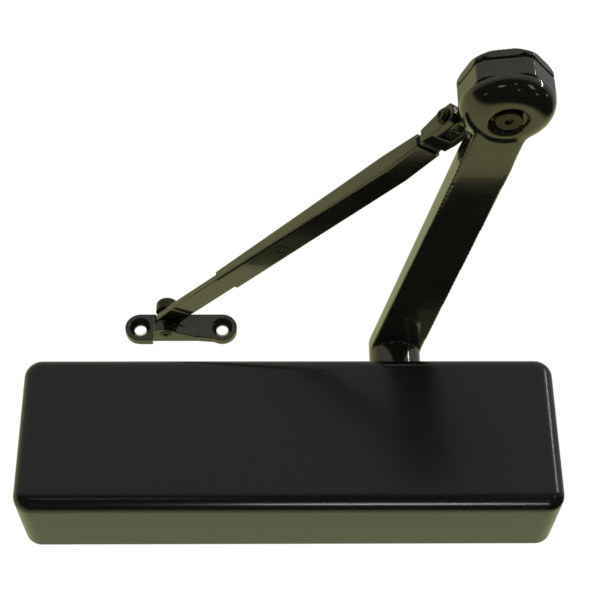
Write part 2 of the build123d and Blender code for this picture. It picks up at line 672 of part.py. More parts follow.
# Forged arm: a tapered bar whose underside slopes down to run flush into the round eye.
with BuildPart() as main_arm:
    with BuildSketch(arm_plan(ELBOW_BOTTOM_Z - CUT_MARGIN)):
        with BuildLine():
            Polyline(
                (0, ARM_HALF_WIDTH_SPINDLE),
                (ARM_CENTRES - EYE_ENTRY, ARM_HALF_WIDTH_ELBOW),
                (ARM_CENTRES - EYE_ENTRY, -ARM_HALF_WIDTH_ELBOW),
                (0, -ARM_HALF_WIDTH_SPINDLE),
                close=True,
            )
        make_face()
        Circle(ARM_HALF_WIDTH_SPINDLE)
    extrude(amount=FLARE_BOTTOM_Z - ELBOW_BOTTOM_Z + CUT_MARGIN)
    with BuildSketch(arm_side()):
        with BuildLine():
            Polyline(
                (-ELBOW_RADIUS, ARM_BOTTOM_Z),
                (0, ARM_BOTTOM_Z),
                (ARM_CENTRES, ARM_ELBOW_BOTTOM_Z),
                (ARM_CENTRES, ELBOW_BOTTOM_Z - 2 * CUT_MARGIN),
                (-ELBOW_RADIUS, ELBOW_BOTTOM_Z - 2 * CUT_MARGIN),
                close=True,
            )
        make_face()
    extrude(amount=ELBOW_RADIUS, both=True, mode=Mode.SUBTRACT)
    with BuildSketch(arm_plan(FLARE_BOTTOM_Z)):
        add(arm_outline())
    extrude(amount=ARM_TOP_Z - FLARE_BOTTOM_Z)
    fillet(main_arm.faces().sort_by(Axis.Z)[-1].edges(), ARM_TOP_EDGE_RADIUS)
    with BuildSketch(arm_plan(FLARE_BOTTOM_Z)):
        with Locations((ARM_CENTRES, 0)):
            Circle(ELBOW_RADIUS)
        with Locations((ARM_CENTRES - EYE_ENTRY - ELBOW_RADIUS, 0)):
            Rectangle(2 * ELBOW_RADIUS, 2 * ARM_HALF_WIDTH_ELBOW, mode=Mode.SUBTRACT)
    extrude(amount=ELBOW_SEAM_Z - FLARE_BOTTOM_Z, mode=Mode.SUBTRACT)
    with BuildSketch(elbow_plan(ELBOW_SEAM_Z)):
        Circle(ELBOW_RADIUS + CUT_MARGIN / 2)
    extrude(amount=ARM_TOP_Z - ELBOW_SEAM_Z + CUT_MARGIN, mode=Mode.SUBTRACT)
    arc_middle = ELBOW_EDGE_RADIUS * sqrt(0.5)
    with BuildSketch(Plane(origin=(ELBOW_X, ELBOW_Y, 0), z_dir=(0, -1, 0), x_dir=(1, 0, 0))):
        with BuildLine():
            Line((0, ELBOW_BOTTOM_Z), (EYE_INNER_RADIUS, ELBOW_BOTTOM_Z))
            ThreePointArc(
                (EYE_INNER_RADIUS, ELBOW_BOTTOM_Z),
                (EYE_INNER_RADIUS + arc_middle, EYE_EDGE_Z - arc_middle),
                (ELBOW_RADIUS, EYE_EDGE_Z),
            )
            Polyline(
                (ELBOW_RADIUS, EYE_EDGE_Z),
                (ELBOW_RADIUS, ELBOW_SEAM_Z),
                (0, ELBOW_SEAM_Z),
                (0, ELBOW_BOTTOM_Z),
            )
        make_face()
    revolve(axis=elbow_axis)
    with BuildSketch(spindle_plan(ARM_BOSS_BOTTOM_Z)):
        Circle(ARM_HALF_WIDTH_SPINDLE)
    extrude(amount=ARM_BOTTOM_Z - ARM_BOSS_BOTTOM_Z + 2 * CUT_MARGIN)
    with BuildSketch(arm_plan(ARM_BOSS_BOTTOM_Z)):
        Rectangle(SQUARE_SIZE, SQUARE_SIZE)
    extrude(amount=ARM_TOP_Z - ARM_BOSS_BOTTOM_Z, mode=Mode.SUBTRACT)
    with BuildSketch(elbow_plan(ELBOW_BOTTOM_Z)):
        Circle(ELBOW_SINK_RADIUS)
    extrude(amount=ELBOW_SINK_DEPTH, mode=Mode.SUBTRACT)
    with BuildSketch(elbow_plan(ELBOW_BOTTOM_Z)):
        Circle(STUD_RADIUS)
    extrude(amount=ELBOW_SEAM_Z - ELBOW_BOTTOM_Z, mode=Mode.SUBTRACT)
main_arm.part.label = "main_arm"
export_step(main_arm.part, "parts/main_arm.step")

SPINDLE_WASHER_RADIUS = 11.0
SPINDLE_WASHER_THICKNESS = 2.0
SCREW_HEAD_INRADIUS = 6.5
SCREW_HEAD_HEIGHT = 5.3
SCREW_HEAD_CORNER_RADIUS = 7.6
SCREW_LENGTH = 20.0
SMALL_CHAMFER = 0.5

# Washer and hexagon screw that clamp the arm on the spindle's square.
with BuildPart() as spindle_washer:
    with BuildSketch(spindle_plan(ARM_TOP_Z)):
        Circle(SPINDLE_WASHER_RADIUS)
        Circle(SPINDLE_THREAD_RADIUS + 0.3, mode=Mode.SUBTRACT)
    extrude(amount=SPINDLE_WASHER_THICKNESS)
    chamfer(spindle_washer.faces().sort_by(Axis.Z)[-1].outer_wire().edges(), SMALL_CHAMFER)
spindle_washer.part.label = "spindle_washer"
export_step(spindle_washer.part, "parts/spindle_washer.step")

screw_seat_z = ARM_TOP_Z + SPINDLE_WASHER_THICKNESS
with BuildPart() as spindle_screw:
    with BuildSketch(spindle_plan(screw_seat_z)):
        RegularPolygon(SCREW_HEAD_INRADIUS, 6, major_radius=False)
    extrude(amount=SCREW_HEAD_HEIGHT)
    with BuildSketch(spindle_plan(screw_seat_z)):
        Circle(SCREW_HEAD_CORNER_RADIUS)
    extrude(amount=SCREW_HEAD_HEIGHT, taper=8, mode=Mode.INTERSECT)
    with BuildSketch(spindle_plan(screw_seat_z)):
        Circle(SPINDLE_THREAD_RADIUS)
    extrude(amount=-SCREW_LENGTH)
spindle_screw.part.label = "spindle_screw"
export_step(spindle_screw.part, "parts/spindle_screw.step")

# ---- hold-open elbow ----------------------------------------------------------

DETENT_TOP_Z = 75.2
ROLLER_RADIUS = 1.5
ROLLER_Z = DETENT_TOP_Z + 0.1 + ROLLER_RADIUS
CAVITY_RADIUS = 16.0
CAVITY_TOP_Z = 79.5
STUD_HEAD_Z = 61.6
STUD_HEAD_RADIUS = 6.8
STUD_SEAT_Z = ELBOW_BOTTOM_Z + ELBOW_SINK_DEPTH
STUD_TOP_Z = 86.2
CENTRE_MARK_RADIUS = 2.0
CENTRE_MARK_DEPTH = 1.2
DETENT_RADIUS = 15.5
DETENT_GROOVE_WIDTH = 2.2
DETENT_GROOVE_DEPTH = 0.9
DETENT_ANGLE = -75.0
CAGE_RADIUS = 15.4
CAGE_THICKNESS = 1.4
CAGE_DROP = 0.6
ROLLER_START = 8.0
ROLLER_LENGTH = 6.0
CONE_RIM_RADIUS = 14.0
CONE_EYE_RADIUS = 7.0
CONE_THICKNESS = 0.6
PRESS_GAP = 0.02
NUT_WASHER_RADIUS = 20.0
NUT_THREAD_DEPTH = 3.0


def rounded_hexagon():
    """Draw a hexagon whose corners are turned to the elbow's radius, in the open sketch."""
    Circle(ELBOW_RADIUS)
    RegularPolygon(
        FLAT_DISTANCE, 6, major_radius=False, rotation=FIRST_FLAT_ANGLE + 30, mode=Mode.INTERSECT
    )


# Stud riveted under the eye and threaded at its top, with a centre mark in its head.
with BuildPart() as elbow_stud:
    with BuildSketch(elbow_plan(STUD_HEAD_Z)):
        Circle(STUD_HEAD_RADIUS)
    extrude(amount=STUD_SEAT_Z - STUD_HEAD_Z)
    chamfer(elbow_stud.faces().sort_by(Axis.Z)[0].edges(), SMALL_CHAMFER)
    with BuildSketch(elbow_plan(STUD_SEAT_Z)):
        Circle(STUD_RADIUS)
    extrude(amount=STUD_TOP_Z - STUD_SEAT_Z)
    chamfer(elbow_stud.faces().sort_by(Axis.Z)[-1].edges(), SMALL_CHAMFER)
    with BuildSketch(elbow_plan(STUD_HEAD_Z)):
        Circle(CENTRE_MARK_RADIUS)
    extrude(amount=CENTRE_MARK_DEPTH, taper=30, mode=Mode.SUBTRACT)
elbow_stud.part.label = "elbow_stud"
export_step(elbow_stud.part, "parts/elbow_stud.step")

# Detent disc, fixed to the stud, with grooves across its top.
with BuildPart() as detent_disc:
    with BuildSketch(elbow_plan(ELBOW_SEAM_Z)):
        Circle(DETENT_RADIUS)
        Circle(STUD_RADIUS, mode=Mode.SUBTRACT)
    extrude(amount=DETENT_TOP_Z - ELBOW_SEAM_Z)
    with BuildSketch(forearm_plan(DETENT_TOP_Z)):
        Rectangle(2 * DETENT_RADIUS + CUT_MARGIN, DETENT_GROOVE_WIDTH, rotation=DETENT_ANGLE)
    extrude(amount=-DETENT_GROOVE_DEPTH, mode=Mode.SUBTRACT)
detent_disc.part.label = "detent_disc"
export_step(detent_disc.part, "parts/detent_disc.step")

# Cage that carries the two detent rollers round with the elbow head.
with BuildPart() as roller_cage:
    with BuildSketch(forearm_plan(ROLLER_Z - CAGE_DROP)):
        Circle(CAGE_RADIUS)
        Circle(STUD_RADIUS + 0.3, mode=Mode.SUBTRACT)
        with PolarLocations(ROLLER_START + ROLLER_LENGTH / 2, 2):
            Rectangle(
                ROLLER_LENGTH + 4 * RUNNING_GAP, 2 * ROLLER_RADIUS + 2 * RUNNING_GAP, mode=Mode.SUBTRACT
            )
    extrude(amount=CAGE_THICKNESS)
roller_cage.part.label = "roller_cage"
export_step(roller_cage.part, "parts/roller_cage.step")

with BuildPart() as detent_rollers:
    for side in (1, -1):
        with BuildSketch(forearm_section(side * ROLLER_START, ROLLER_Z)):
            Circle(ROLLER_RADIUS)
        extrude(amount=side * ROLLER_LENGTH)
detent_rollers.part.label = "detent_rollers"
export_step(detent_rollers.part, "parts/detent_rollers.step")

# Conical spring washer that presses the rollers down.
with BuildPart() as spring_washer:
    low = ROLLER_Z + ROLLER_RADIUS + PRESS_GAP
    high = CAVITY_TOP_Z - PRESS_GAP
    with BuildSketch(Plane(origin=(ELBOW_X, ELBOW_Y, 0), z_dir=(0, -1, 0), x_dir=(1, 0, 0))):
        with BuildLine():
            Polyline(
                (CONE_RIM_RADIUS, low),
                (CONE_RIM_RADIUS, low + CONE_THICKNESS),
                (CONE_EYE_RADIUS, high),
                (CONE_EYE_RADIUS, high - CONE_THICKNESS),
                close=True,
            )
        make_face()
    revolve(axis=elbow_axis)
spring_washer.part.label = "spring_washer"
export_step(spring_washer.part, "parts/spring_washer.step")

LUG_FLARE_BOTTOM_Z = 75.6
LUG_FLARE_TOP_Z = 82.4
LUG_EYE_RADIUS = 5.2
LUG_FACE = 31.0
# The lug's side view: distance along the forearm from the elbow axis, and height.
LUG_SIDE = (
    (18, LUG_FLARE_BOTTOM_Z),
    (24, LUG_FLARE_BOTTOM_Z),
    (LUG_FACE, 78.2),
    (LUG_FACE, 88.6),
    (27.5, 87),
    (24.6, LUG_FLARE_TOP_Z),
    (18, LUG_FLARE_TOP_Z),
)

# Elbow head: a hollow rounded hexagon with the knuckle lug on its side.
with BuildPart() as elbow_head:
    with BuildSketch(elbow_plan(HEAD_BOTTOM_Z)):
        rounded_hexagon()
    extrude(amount=HEAD_TOP_Z - HEAD_BOTTOM_Z)
    chamfer(elbow_head.faces().sort_by(Axis.Z)[-1].edges(), SMALL_CHAMFER)
    with BuildSketch(forearm_plan(LUG_FLARE_BOTTOM_Z)):
        with BuildLine():
            Line((18, 10), (22, 9))
            ThreePointArc((22, 9), (23.6, 5.4), (27.2, LUG_HALF_WIDTH))
            Line((27.2, LUG_HALF_WIDTH), (27.2, -LUG_HALF_WIDTH))
            ThreePointArc((27.2, -LUG_HALF_WIDTH), (23.6, -5.4), (22, -9))
            Polyline((22, -9), (18, -10), (18, 10))
        make_face()
    extrude(amount=LUG_FLARE_TOP_Z - LUG_FLARE_BOTTOM_Z)
    with BuildSketch(forearm_side()):
        with BuildLine():
            Polyline(*LUG_SIDE, close=True)
        make_face()
        with Locations((KNUCKLE_ALONG, KNUCKLE_Z)):
            Circle(LUG_EYE_RADIUS)
        with Locations(((LUG_FACE + KNUCKLE_ALONG) / 2, KNUCKLE_Z)):
            Rectangle(KNUCKLE_ALONG - LUG_FACE, 2 * LUG_EYE_RADIUS)
    extrude(amount=LUG_HALF_WIDTH, both=True)
    with BuildSketch(forearm_side()):
        with Locations((KNUCKLE_ALONG, KNUCKLE_Z)):
            Circle(KNUCKLE_PIN_RADIUS + RUNNING_GAP)
    extrude(amount=EAR_OUTER, both=True, mode=Mode.SUBTRACT)
    with BuildSketch(elbow_plan(HEAD_BOTTOM_Z)):
        Circle(CAVITY_RADIUS)
    extrude(amount=CAVITY_TOP_Z - HEAD_BOTTOM_Z, mode=Mode.SUBTRACT)
    with BuildSketch(elbow_plan(HEAD_BOTTOM_Z)):
        Circle(STUD_RADIUS + RUNNING_GAP)
    extrude(amount=HEAD_TOP_Z - HEAD_BOTTOM_Z, mode=Mode.SUBTRACT)
elbow_head.part.label = "elbow_head"
export_step(elbow_head.part, "parts/elbow_head.step")

# Thin washer between the head and its nut.
with BuildPart() as nut_washer:
    with BuildSketch(elbow_plan(HEAD_TOP_Z)):
        Circle(NUT_WASHER_RADIUS)
        Circle(STUD_RADIUS + 0.3, mode=Mode.SUBTRACT)
    extrude(amount=NUT_BOTTOM_Z - HEAD_TOP_Z)
nut_washer.part.label = "nut_washer"
export_step(nut_washer.part, "parts/nut_washer.step")

# Closed nut with the same six flats and turned corners, which sets the hold-open force.
with BuildPart() as hold_open_nut:
    with BuildSketch(elbow_plan(NUT_BOTTOM_Z + PRESS_GAP)):
        rounded_hexagon()
    extrude(amount=NUT_TOP_Z - NUT_BOTTOM_Z - PRESS_GAP)
    with BuildSketch(Plane(origin=(ELBOW_X, ELBOW_Y, 0), z_dir=(0, -1, 0), x_dir=(1, 0, 0))):
        with BuildLine():
            Polyline(
                (0, NUT_BOTTOM_Z),
                (ELBOW_RADIUS - CORNER_CHAMFER, NUT_BOTTOM_Z),
                (ELBOW_RADIUS, NUT_BOTTOM_Z + CORNER_CHAMFER),
                (ELBOW_RADIUS, NUT_TOP_Z - CORNER_CHAMFER),
                (ELBOW_RADIUS - CORNER_CHAMFER, NUT_TOP_Z),
                (0, NUT_TOP_Z),
                close=True,
            )
        make_face()
    revolve(axis=elbow_axis, mode=Mode.INTERSECT)
    with BuildSketch(elbow_plan(NUT_BOTTOM_Z)):
        Circle(STUD_RADIUS + RUNNING_GAP)
    extrude(amount=NUT_THREAD_DEPTH, mode=Mode.SUBTRACT)
hold_open_nut.part.label = "hold_open_nut"
export_step(hold_open_nut.part, "parts/hold_open_nut.step")

# ---- knuckle and forearm ------------------------------------------------------

EAR_TOP_Z = 89.0
EAR_BOTTOM_Z = 78.3
EAR_NOSE = 28.6
EAR_EDGE_RADIUS = 0.8
WEB_START = 45.0
SHANK_START = 53.0
SHANK_END = 76.0
SHANK_HALF_HEIGHT = 2.85
SHANK_GAP = 0.15
SHANK_Z = (tube_mouth[2] + tube_mouth[3]) / 2
# The fork's side view: distance along the forearm from the elbow axis, and height.
FORK_SIDE = (
    (EAR_NOSE + 2, EAR_TOP_Z),
    (38, EAR_TOP_Z),
    (53.6, 86.1),
    (53.6, 79.4),
    (46, EAR_BOTTOM_Z),
    (EAR_NOSE + 3, EAR_BOTTOM_Z),
    (EAR_NOSE, 81.5),
    (EAR_NOSE, 86.5),
)
SLOT_START = EAR_NOSE - 4

# Fork: two ears round the lug, joined by a web and a shank inside the tube.
with BuildPart() as knuckle_fork:
    with BuildSketch(forearm_side()):
        with BuildLine():
            Polyline(*FORK_SIDE, close=True)
        make_face()
    extrude(amount=EAR_OUTER, both=True)
    side_faces = knuckle_fork.faces().sort_by(Axis((0, 0, 0), (forearm_dy, -forearm_dx, 0)))
    fillet(side_faces[0].edges() + side_faces[-1].edges(), EAR_EDGE_RADIUS)
    with BuildSketch(forearm_side()):
        with Locations(((WEB_START + SLOT_START) / 2, KNUCKLE_Z)):
            Rectangle(WEB_START - SLOT_START, 2 * (EAR_TOP_Z - EAR_BOTTOM_Z))
    extrude(amount=EAR_INNER, both=True, mode=Mode.SUBTRACT)
    with BuildSketch(forearm_section(SHANK_START, SHANK_Z)):
        Rectangle(tube_mouth[1] - 2 * (TUBE_WALL + SHANK_GAP), 2 * SHANK_HALF_HEIGHT)
    extrude(amount=SHANK_END - SHANK_START)
    with BuildSketch(forearm_side()):
        with Locations((KNUCKLE_ALONG, KNUCKLE_Z)):
            Circle(KNUCKLE_PIN_RADIUS)
    extrude(amount=EAR_OUTER + CUT_MARGIN, both=True, mode=Mode.SUBTRACT)
knuckle_fork.part.label = "knuckle_fork"
export_step(knuckle_fork.part, "parts/knuckle_fork.step")

PIN_HEAD_RADIUS = 4.3
PIN_CROWN_RADIUS = 3.3
PIN_MARK_RADIUS = 1.3
PIN_STEP = 1.2
PIN_MARK_DEPTH = 0.7

# Rivet with a stepped head at each end and a centre mark.
with BuildPart() as knuckle_pin:
    with BuildSketch(forearm_side()):
        with Locations((KNUCKLE_ALONG, KNUCKLE_Z)):
            Circle(KNUCKLE_PIN_RADIUS)
    extrude(amount=EAR_OUTER, both=True)
    for side in (1, -1):
        with BuildSketch(forearm_side(side * EAR_OUTER)):
            with Locations((KNUCKLE_ALONG, KNUCKLE_Z)):
                Circle(PIN_HEAD_RADIUS)
        extrude(amount=side * PIN_STEP)
        with BuildSketch(forearm_side(side * (EAR_OUTER + PIN_STEP))):
            with Locations((KNUCKLE_ALONG, KNUCKLE_Z)):
                Circle(PIN_CROWN_RADIUS)
        extrude(amount=side * PIN_STEP, taper=12)
        with BuildSketch(forearm_side(side * (EAR_OUTER + 2 * PIN_STEP))):
            with Locations((KNUCKLE_ALONG, KNUCKLE_Z)):
                Circle(PIN_MARK_RADIUS)
        extrude(amount=-side * PIN_MARK_DEPTH, mode=Mode.SUBTRACT)
knuckle_pin.part.label = "knuckle_pin"
export_step(knuckle_pin.part, "parts/knuckle_pin.step")


def tube_profile(section, inset, corner):
    """Rounded rectangle across the forearm at one of the tube's sections."""
    along, width, low, high = section
    with BuildSketch(forearm_section(along, (low + high) / 2)) as profile:
        RectangleRounded(width - 2 * inset, high - low - 2 * inset, corner)
    return profile.sketch


def stretch(section, other, extra):
    """The section, moved past its own end along the line from the other one."""
    share = 1 + extra / abs(section[0] - other[0])
    return tuple(b + (a - b) * share for a, b in zip(section, other))


TUBE_OUTER_CORNER = 1.5
TUBE_INNER_CORNER = 0.5
MARK_ALONG = 186.0
MARK_OUTER_RADIUS = 4.3
MARK_INNER_RADIUS = 3.7
MARK_DEPTH = 0.3
LOCK_ALONG = 228.0
LOCK_RADIUS = 2.5
LOCK_PROUD = 0.6
LOCK_SOCKET_INRADIUS = 1.25
LOCK_SOCKET_DEPTH = 1.2
LOCK_GAP = 0.35

# Formed tube, deep at the knuckle and flattened towards the rod.
with BuildPart() as forearm_tube:
    for near, far in ((tube_mouth, tube_knee), (tube_knee, tube_end)):
        loft([tube_profile(near, 0, TUBE_OUTER_CORNER), tube_profile(far, 0, TUBE_OUTER_CORNER)])
    inner_start = stretch(tube_mouth, tube_knee, 2)
    inner_stop = stretch(tube_end, tube_knee, 4)
    for near, far in ((inner_start, tube_knee), (tube_knee, inner_stop)):
        loft(
            [tube_profile(end, TUBE_WALL, TUBE_INNER_CORNER) for end in (near, far)],
            mode=Mode.SUBTRACT,
        )
    mark_slope = Vector(forearm_dx, forearm_dy, rod_slope)
    mark_x = Vector(-forearm_dy, forearm_dx, 0)
    mark_z = tube_end[2] + (MARK_ALONG - tube_end[0]) * rod_slope
    mark_origin = (ELBOW_X + forearm_dx * MARK_ALONG, ELBOW_Y + forearm_dy * MARK_ALONG, mark_z)
    with BuildSketch(Plane(origin=mark_origin, x_dir=mark_x, z_dir=mark_slope.cross(mark_x))):
        Circle(MARK_OUTER_RADIUS)
        Circle(MARK_INNER_RADIUS, mode=Mode.SUBTRACT)
    extrude(amount=MARK_DEPTH, both=True)
    top_slope = (tube_end[3] - tube_knee[3]) / (tube_end[0] - tube_knee[0])
    lock_z = tube_end[3] + (LOCK_ALONG - tube_end[0]) * top_slope
    lock_x = ELBOW_X + forearm_dx * LOCK_ALONG
    lock_y = ELBOW_Y + forearm_dy * LOCK_ALONG
    with Locations(Plane(origin=(lock_x, lock_y, lock_z + CUT_MARGIN))):
        Hole(LOCK_RADIUS, CUT_MARGIN + 3)
forearm_tube.part.label = "forearm_tube"
export_step(forearm_tube.part, "parts/forearm_tube.step")

# Socket set screw that clamps the rod from above.
lock_bottom = rod_bottom(LOCK_ALONG) + ROD_THICKNESS + LOCK_GAP
with BuildPart() as rod_lock_screw:
    with BuildSketch(Plane(origin=(lock_x, lock_y, lock_bottom))):
        Circle(LOCK_RADIUS)
    extrude(amount=lock_z + LOCK_PROUD - lock_bottom)
    with BuildSketch(Plane(origin=(lock_x, lock_y, lock_z + LOCK_PROUD))):
        RegularPolygon(LOCK_SOCKET_INRADIUS, 6, major_radius=False)
    extrude(amount=-LOCK_SOCKET_DEPTH, mode=Mode.SUBTRACT)
rod_lock_screw.part.label = "rod_lock_screw"
export_step(rod_lock_screw.part, "parts/rod_lock_screw.step")

# Flat rod that slides in the tube and bends level at its eye.
ROD_EDGE_RADIUS = 0.6
ROD_EYE_END = forearm_reach + 10
LONG_EDGE = 12.0
PLAN_BOTTOM_Z = 60.0
PLAN_HEIGHT = 60.0

eye_bottom_z = rod_bottom(ROD_BEND)
with BuildPart() as forearm_rod:
    with BuildSketch(forearm_side()):
        with BuildLine():
            Polyline(
                (ROD_INNER_END, rod_bottom(ROD_INNER_END)),
                (ROD_BEND, eye_bottom_z),
                (ROD_EYE_END, eye_bottom_z),
                (ROD_EYE_END, eye_bottom_z + ROD_THICKNESS),
                (ROD_BEND, eye_bottom_z + ROD_THICKNESS),
                (ROD_INNER_END, rod_bottom(ROD_INNER_END) + ROD_THICKNESS),
                close=True,
            )
        make_face()
    extrude(amount=ROD_HALF_WIDTH, both=True)
    with BuildSketch(forearm_plan(PLAN_BOTTOM_Z)):
        with BuildLine():
            Polyline(
                (ROD_INNER_END, -ROD_INNER_HALF_WIDTH),
                (tube_end[0], -ROD_HALF_WIDTH),
                (forearm_reach, -ROD_HALF_WIDTH),
                (forearm_reach, ROD_HALF_WIDTH),
                (tube_end[0], ROD_HALF_WIDTH),
                (ROD_INNER_END, ROD_INNER_HALF_WIDTH),
                close=True,
            )
        make_face()
        with Locations((forearm_reach, 0)):
            Circle(ROD_HALF_WIDTH)
            Circle(SHOE_STUD_RADIUS + RUNNING_GAP, mode=Mode.SUBTRACT)
    extrude(amount=PLAN_HEIGHT, mode=Mode.INTERSECT)
    long_edges = forearm_rod.edges().filter_by(lambda edge: edge.length > LONG_EDGE)
    fillet(long_edges, ROD_EDGE_RADIUS)
forearm_rod.part.label = "forearm_rod"
export_step(forearm_rod.part, "parts/forearm_rod.step")

# ---- frame shoe ---------------------------------------------------------------

SCALLOP_RADIUS = 8.6
SHELF_LEFT_X = -85.8
SHELF_RIGHT_X = -57.5
SHELF_FRONT_Y = -14.6
STUD_NECK_RADIUS = 5.4
STUD_HEAD_BOTTOM_Z = 104.0
STUD_HEAD_TOP_Z = 112.5
STUD_CAP_RADIUS = 7.0
STUD_CAP_FILLET = 3.5
STUD_RIVET_PROUD = 0.3
STUD_RIVET_MARK_RADIUS = 1.4
STUD_RIVET_MARK_DEPTH = 0.8
SHOE_WASHER_RADIUS = 6.0
EYE_GAP = 0.1
shoe_low_z = SHOE_Z - SHOE_LOBE_RADIUS
shoe_high_z = SHOE_Z + SHOE_LOBE_RADIUS

# Shoe: a plate with two countersunk lobes and a shelf that carries the stud.
with BuildPart() as shoe:
    with BuildSketch(Plane.XZ):
        for x in SHOE_HOLE_X:
            with Locations((x, SHOE_Z)):
                Circle(SHOE_LOBE_RADIUS)
        with BuildLine():
            Polyline(
                (SHOE_HOLE_X[0], shoe_low_z),
                (SHELF_LEFT_X, shoe_low_z),
                (SHELF_LEFT_X, LUG_UNDERSIDE_Z),
                (SHELF_RIGHT_X + 0.5, LUG_UNDERSIDE_Z),
                (SHOE_HOLE_X[1] - 5, shoe_low_z + 1.4),
                (SHOE_HOLE_X[1], SHOE_Z),
                (SHOE_HOLE_X[1], shoe_high_z),
                (SHOE_HOLE_X[0], shoe_high_z),
                close=True,
            )
        make_face()
    extrude(amount=SHOE_THICKNESS)
    with BuildSketch(Plane.XY.offset(LUG_TOP_Z)):
        with Locations((STUD_X, STUD_Y)):
            Circle(SCALLOP_RADIUS)
    extrude(amount=shoe_high_z - LUG_TOP_Z + CUT_MARGIN, mode=Mode.SUBTRACT)
    with BuildSketch(Plane.XY.offset(LUG_UNDERSIDE_Z)):
        with BuildLine():
            Polyline((SHELF_LEFT_X, 0), (SHELF_LEFT_X, -11.5))
            ThreePointArc((SHELF_LEFT_X, -11.5), (-82.6, SHELF_FRONT_Y), (STUD_X, SHELF_FRONT_Y))
            Polyline(
                (STUD_X, SHELF_FRONT_Y), (SHELF_RIGHT_X, -5), (SHELF_RIGHT_X, 0), (SHELF_LEFT_X, 0)
            )
        make_face()
    extrude(amount=LUG_TOP_Z - LUG_UNDERSIDE_Z)
    for x in SHOE_HOLE_X:
        with Locations(Plane(origin=(x, -SHOE_THICKNESS, SHOE_Z), z_dir=(0, -1, 0))):
            CounterSinkHole(SHOE_HOLE_RADIUS, SHOE_SINK_RADIUS, 2 * SHOE_THICKNESS)
    with BuildSketch(Plane(origin=(STUD_X, STUD_Y, LUG_UNDERSIDE_Z))):
        Circle(SHOE_STUD_RADIUS)
    extrude(amount=LUG_TOP_Z - LUG_UNDERSIDE_Z, mode=Mode.SUBTRACT)
shoe.part.label = "shoe"
export_step(shoe.part, "parts/shoe.step")

# Spacer between the shelf and the rod's eye.
with BuildPart() as shoe_washer:
    with BuildSketch(Plane(origin=(STUD_X, STUD_Y, LUG_TOP_Z))):
        Circle(SHOE_WASHER_RADIUS)
        Circle(SHOE_STUD_RADIUS + EYE_GAP, mode=Mode.SUBTRACT)
    extrude(amount=eye_bottom_z - LUG_TOP_Z - EYE_GAP)
shoe_washer.part.label = "shoe_washer"
export_step(shoe_washer.part, "parts/shoe_washer.step")

# Round-headed stud, riveted under the shelf.
stud_neck_z = eye_bottom_z + ROD_THICKNESS + EYE_GAP
stud_foot_z = LUG_UNDERSIDE_Z - STUD_RIVET_PROUD
with BuildPart() as shoe_stud:
    with BuildSketch(Plane(origin=(STUD_X, STUD_Y, stud_foot_z))):
        Circle(SHOE_STUD_RADIUS)
    extrude(amount=stud_neck_z - stud_foot_z)
    with BuildSketch(Plane(origin=(STUD_X, STUD_Y, stud_neck_z))):
        Circle(STUD_NECK_RADIUS)
    extrude(amount=STUD_HEAD_BOTTOM_Z - stud_neck_z)
    with BuildSketch(Plane(origin=(STUD_X, STUD_Y, STUD_HEAD_BOTTOM_Z))):
        Circle(STUD_CAP_RADIUS)
    extrude(amount=STUD_HEAD_TOP_Z - STUD_HEAD_BOTTOM_Z)
    fillet(shoe_stud.faces().sort_by(Axis.Z)[-1].edges(), STUD_CAP_FILLET)
    with BuildSketch(Plane(origin=(STUD_X, STUD_Y, stud_foot_z))):
        Circle(STUD_RIVET_MARK_RADIUS)
    extrude(amount=STUD_RIVET_MARK_DEPTH, mode=Mode.SUBTRACT)
shoe_stud.part.label = "shoe_stud"
export_step(shoe_stud.part, "parts/shoe_stud.step")
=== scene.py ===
"""Surface door closer: the finished look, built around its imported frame.

Lengths are in metres in the frame of the part: +Z up along the spindle, -Y out of
the door and +X to the right. The origin is the middle of the body's four mounting holes.
"""

import json
from math import cos, pi, radians, sin

import bmesh
import bpy
from bpy.props import FloatProperty, FloatVectorProperty, IntProperty, PointerProperty
from mathutils import Matrix, Vector


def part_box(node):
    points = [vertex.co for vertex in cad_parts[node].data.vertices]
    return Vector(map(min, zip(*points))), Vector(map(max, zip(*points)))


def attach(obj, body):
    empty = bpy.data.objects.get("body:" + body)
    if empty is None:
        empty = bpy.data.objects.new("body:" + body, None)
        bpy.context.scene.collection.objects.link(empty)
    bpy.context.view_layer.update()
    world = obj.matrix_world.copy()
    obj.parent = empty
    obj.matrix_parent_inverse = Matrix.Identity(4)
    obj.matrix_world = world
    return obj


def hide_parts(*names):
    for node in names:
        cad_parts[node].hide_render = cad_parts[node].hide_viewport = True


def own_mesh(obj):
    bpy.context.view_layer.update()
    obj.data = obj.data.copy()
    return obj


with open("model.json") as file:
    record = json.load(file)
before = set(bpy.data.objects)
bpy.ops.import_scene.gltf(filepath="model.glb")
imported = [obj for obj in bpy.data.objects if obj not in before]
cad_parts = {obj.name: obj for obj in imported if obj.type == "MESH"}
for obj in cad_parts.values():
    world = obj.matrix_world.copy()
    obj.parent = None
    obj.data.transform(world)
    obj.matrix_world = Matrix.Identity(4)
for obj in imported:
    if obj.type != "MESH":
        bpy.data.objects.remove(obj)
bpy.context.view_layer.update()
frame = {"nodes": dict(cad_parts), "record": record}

bl_info = {
    "name": "Surface door closer",
    "version": (1, 0, 0),
    "blender": (4, 5, 0),
    "location": "3D View > Sidebar > Closer",
    "description": "Builds the finish, forgings, coils and small parts of a door closer round its frame",
    "category": "Object",
}

MM = 0.001

# Points closer together than this are one point.
MERGE_DISTANCE = 0.001 * MM

# Rounds of smoothing that take the edges off a forging, a casting and a rivet.
ARM_ROUNDS = 12
FORK_ROUNDS = 6
ELBOW_ROUNDS = 5
RIVET_ROUNDS = 3

# The neck between the arm and its eye is smoothed again: how far above the stud's foot and
# how far back from the eye its middle is, how far the smoothing reaches, and its rounds.
NECK_RISE = 4 * MM
NECK_BACK = 20 * MM
NECK_REACH = 24 * MM
NECK_ROUNDS = 60

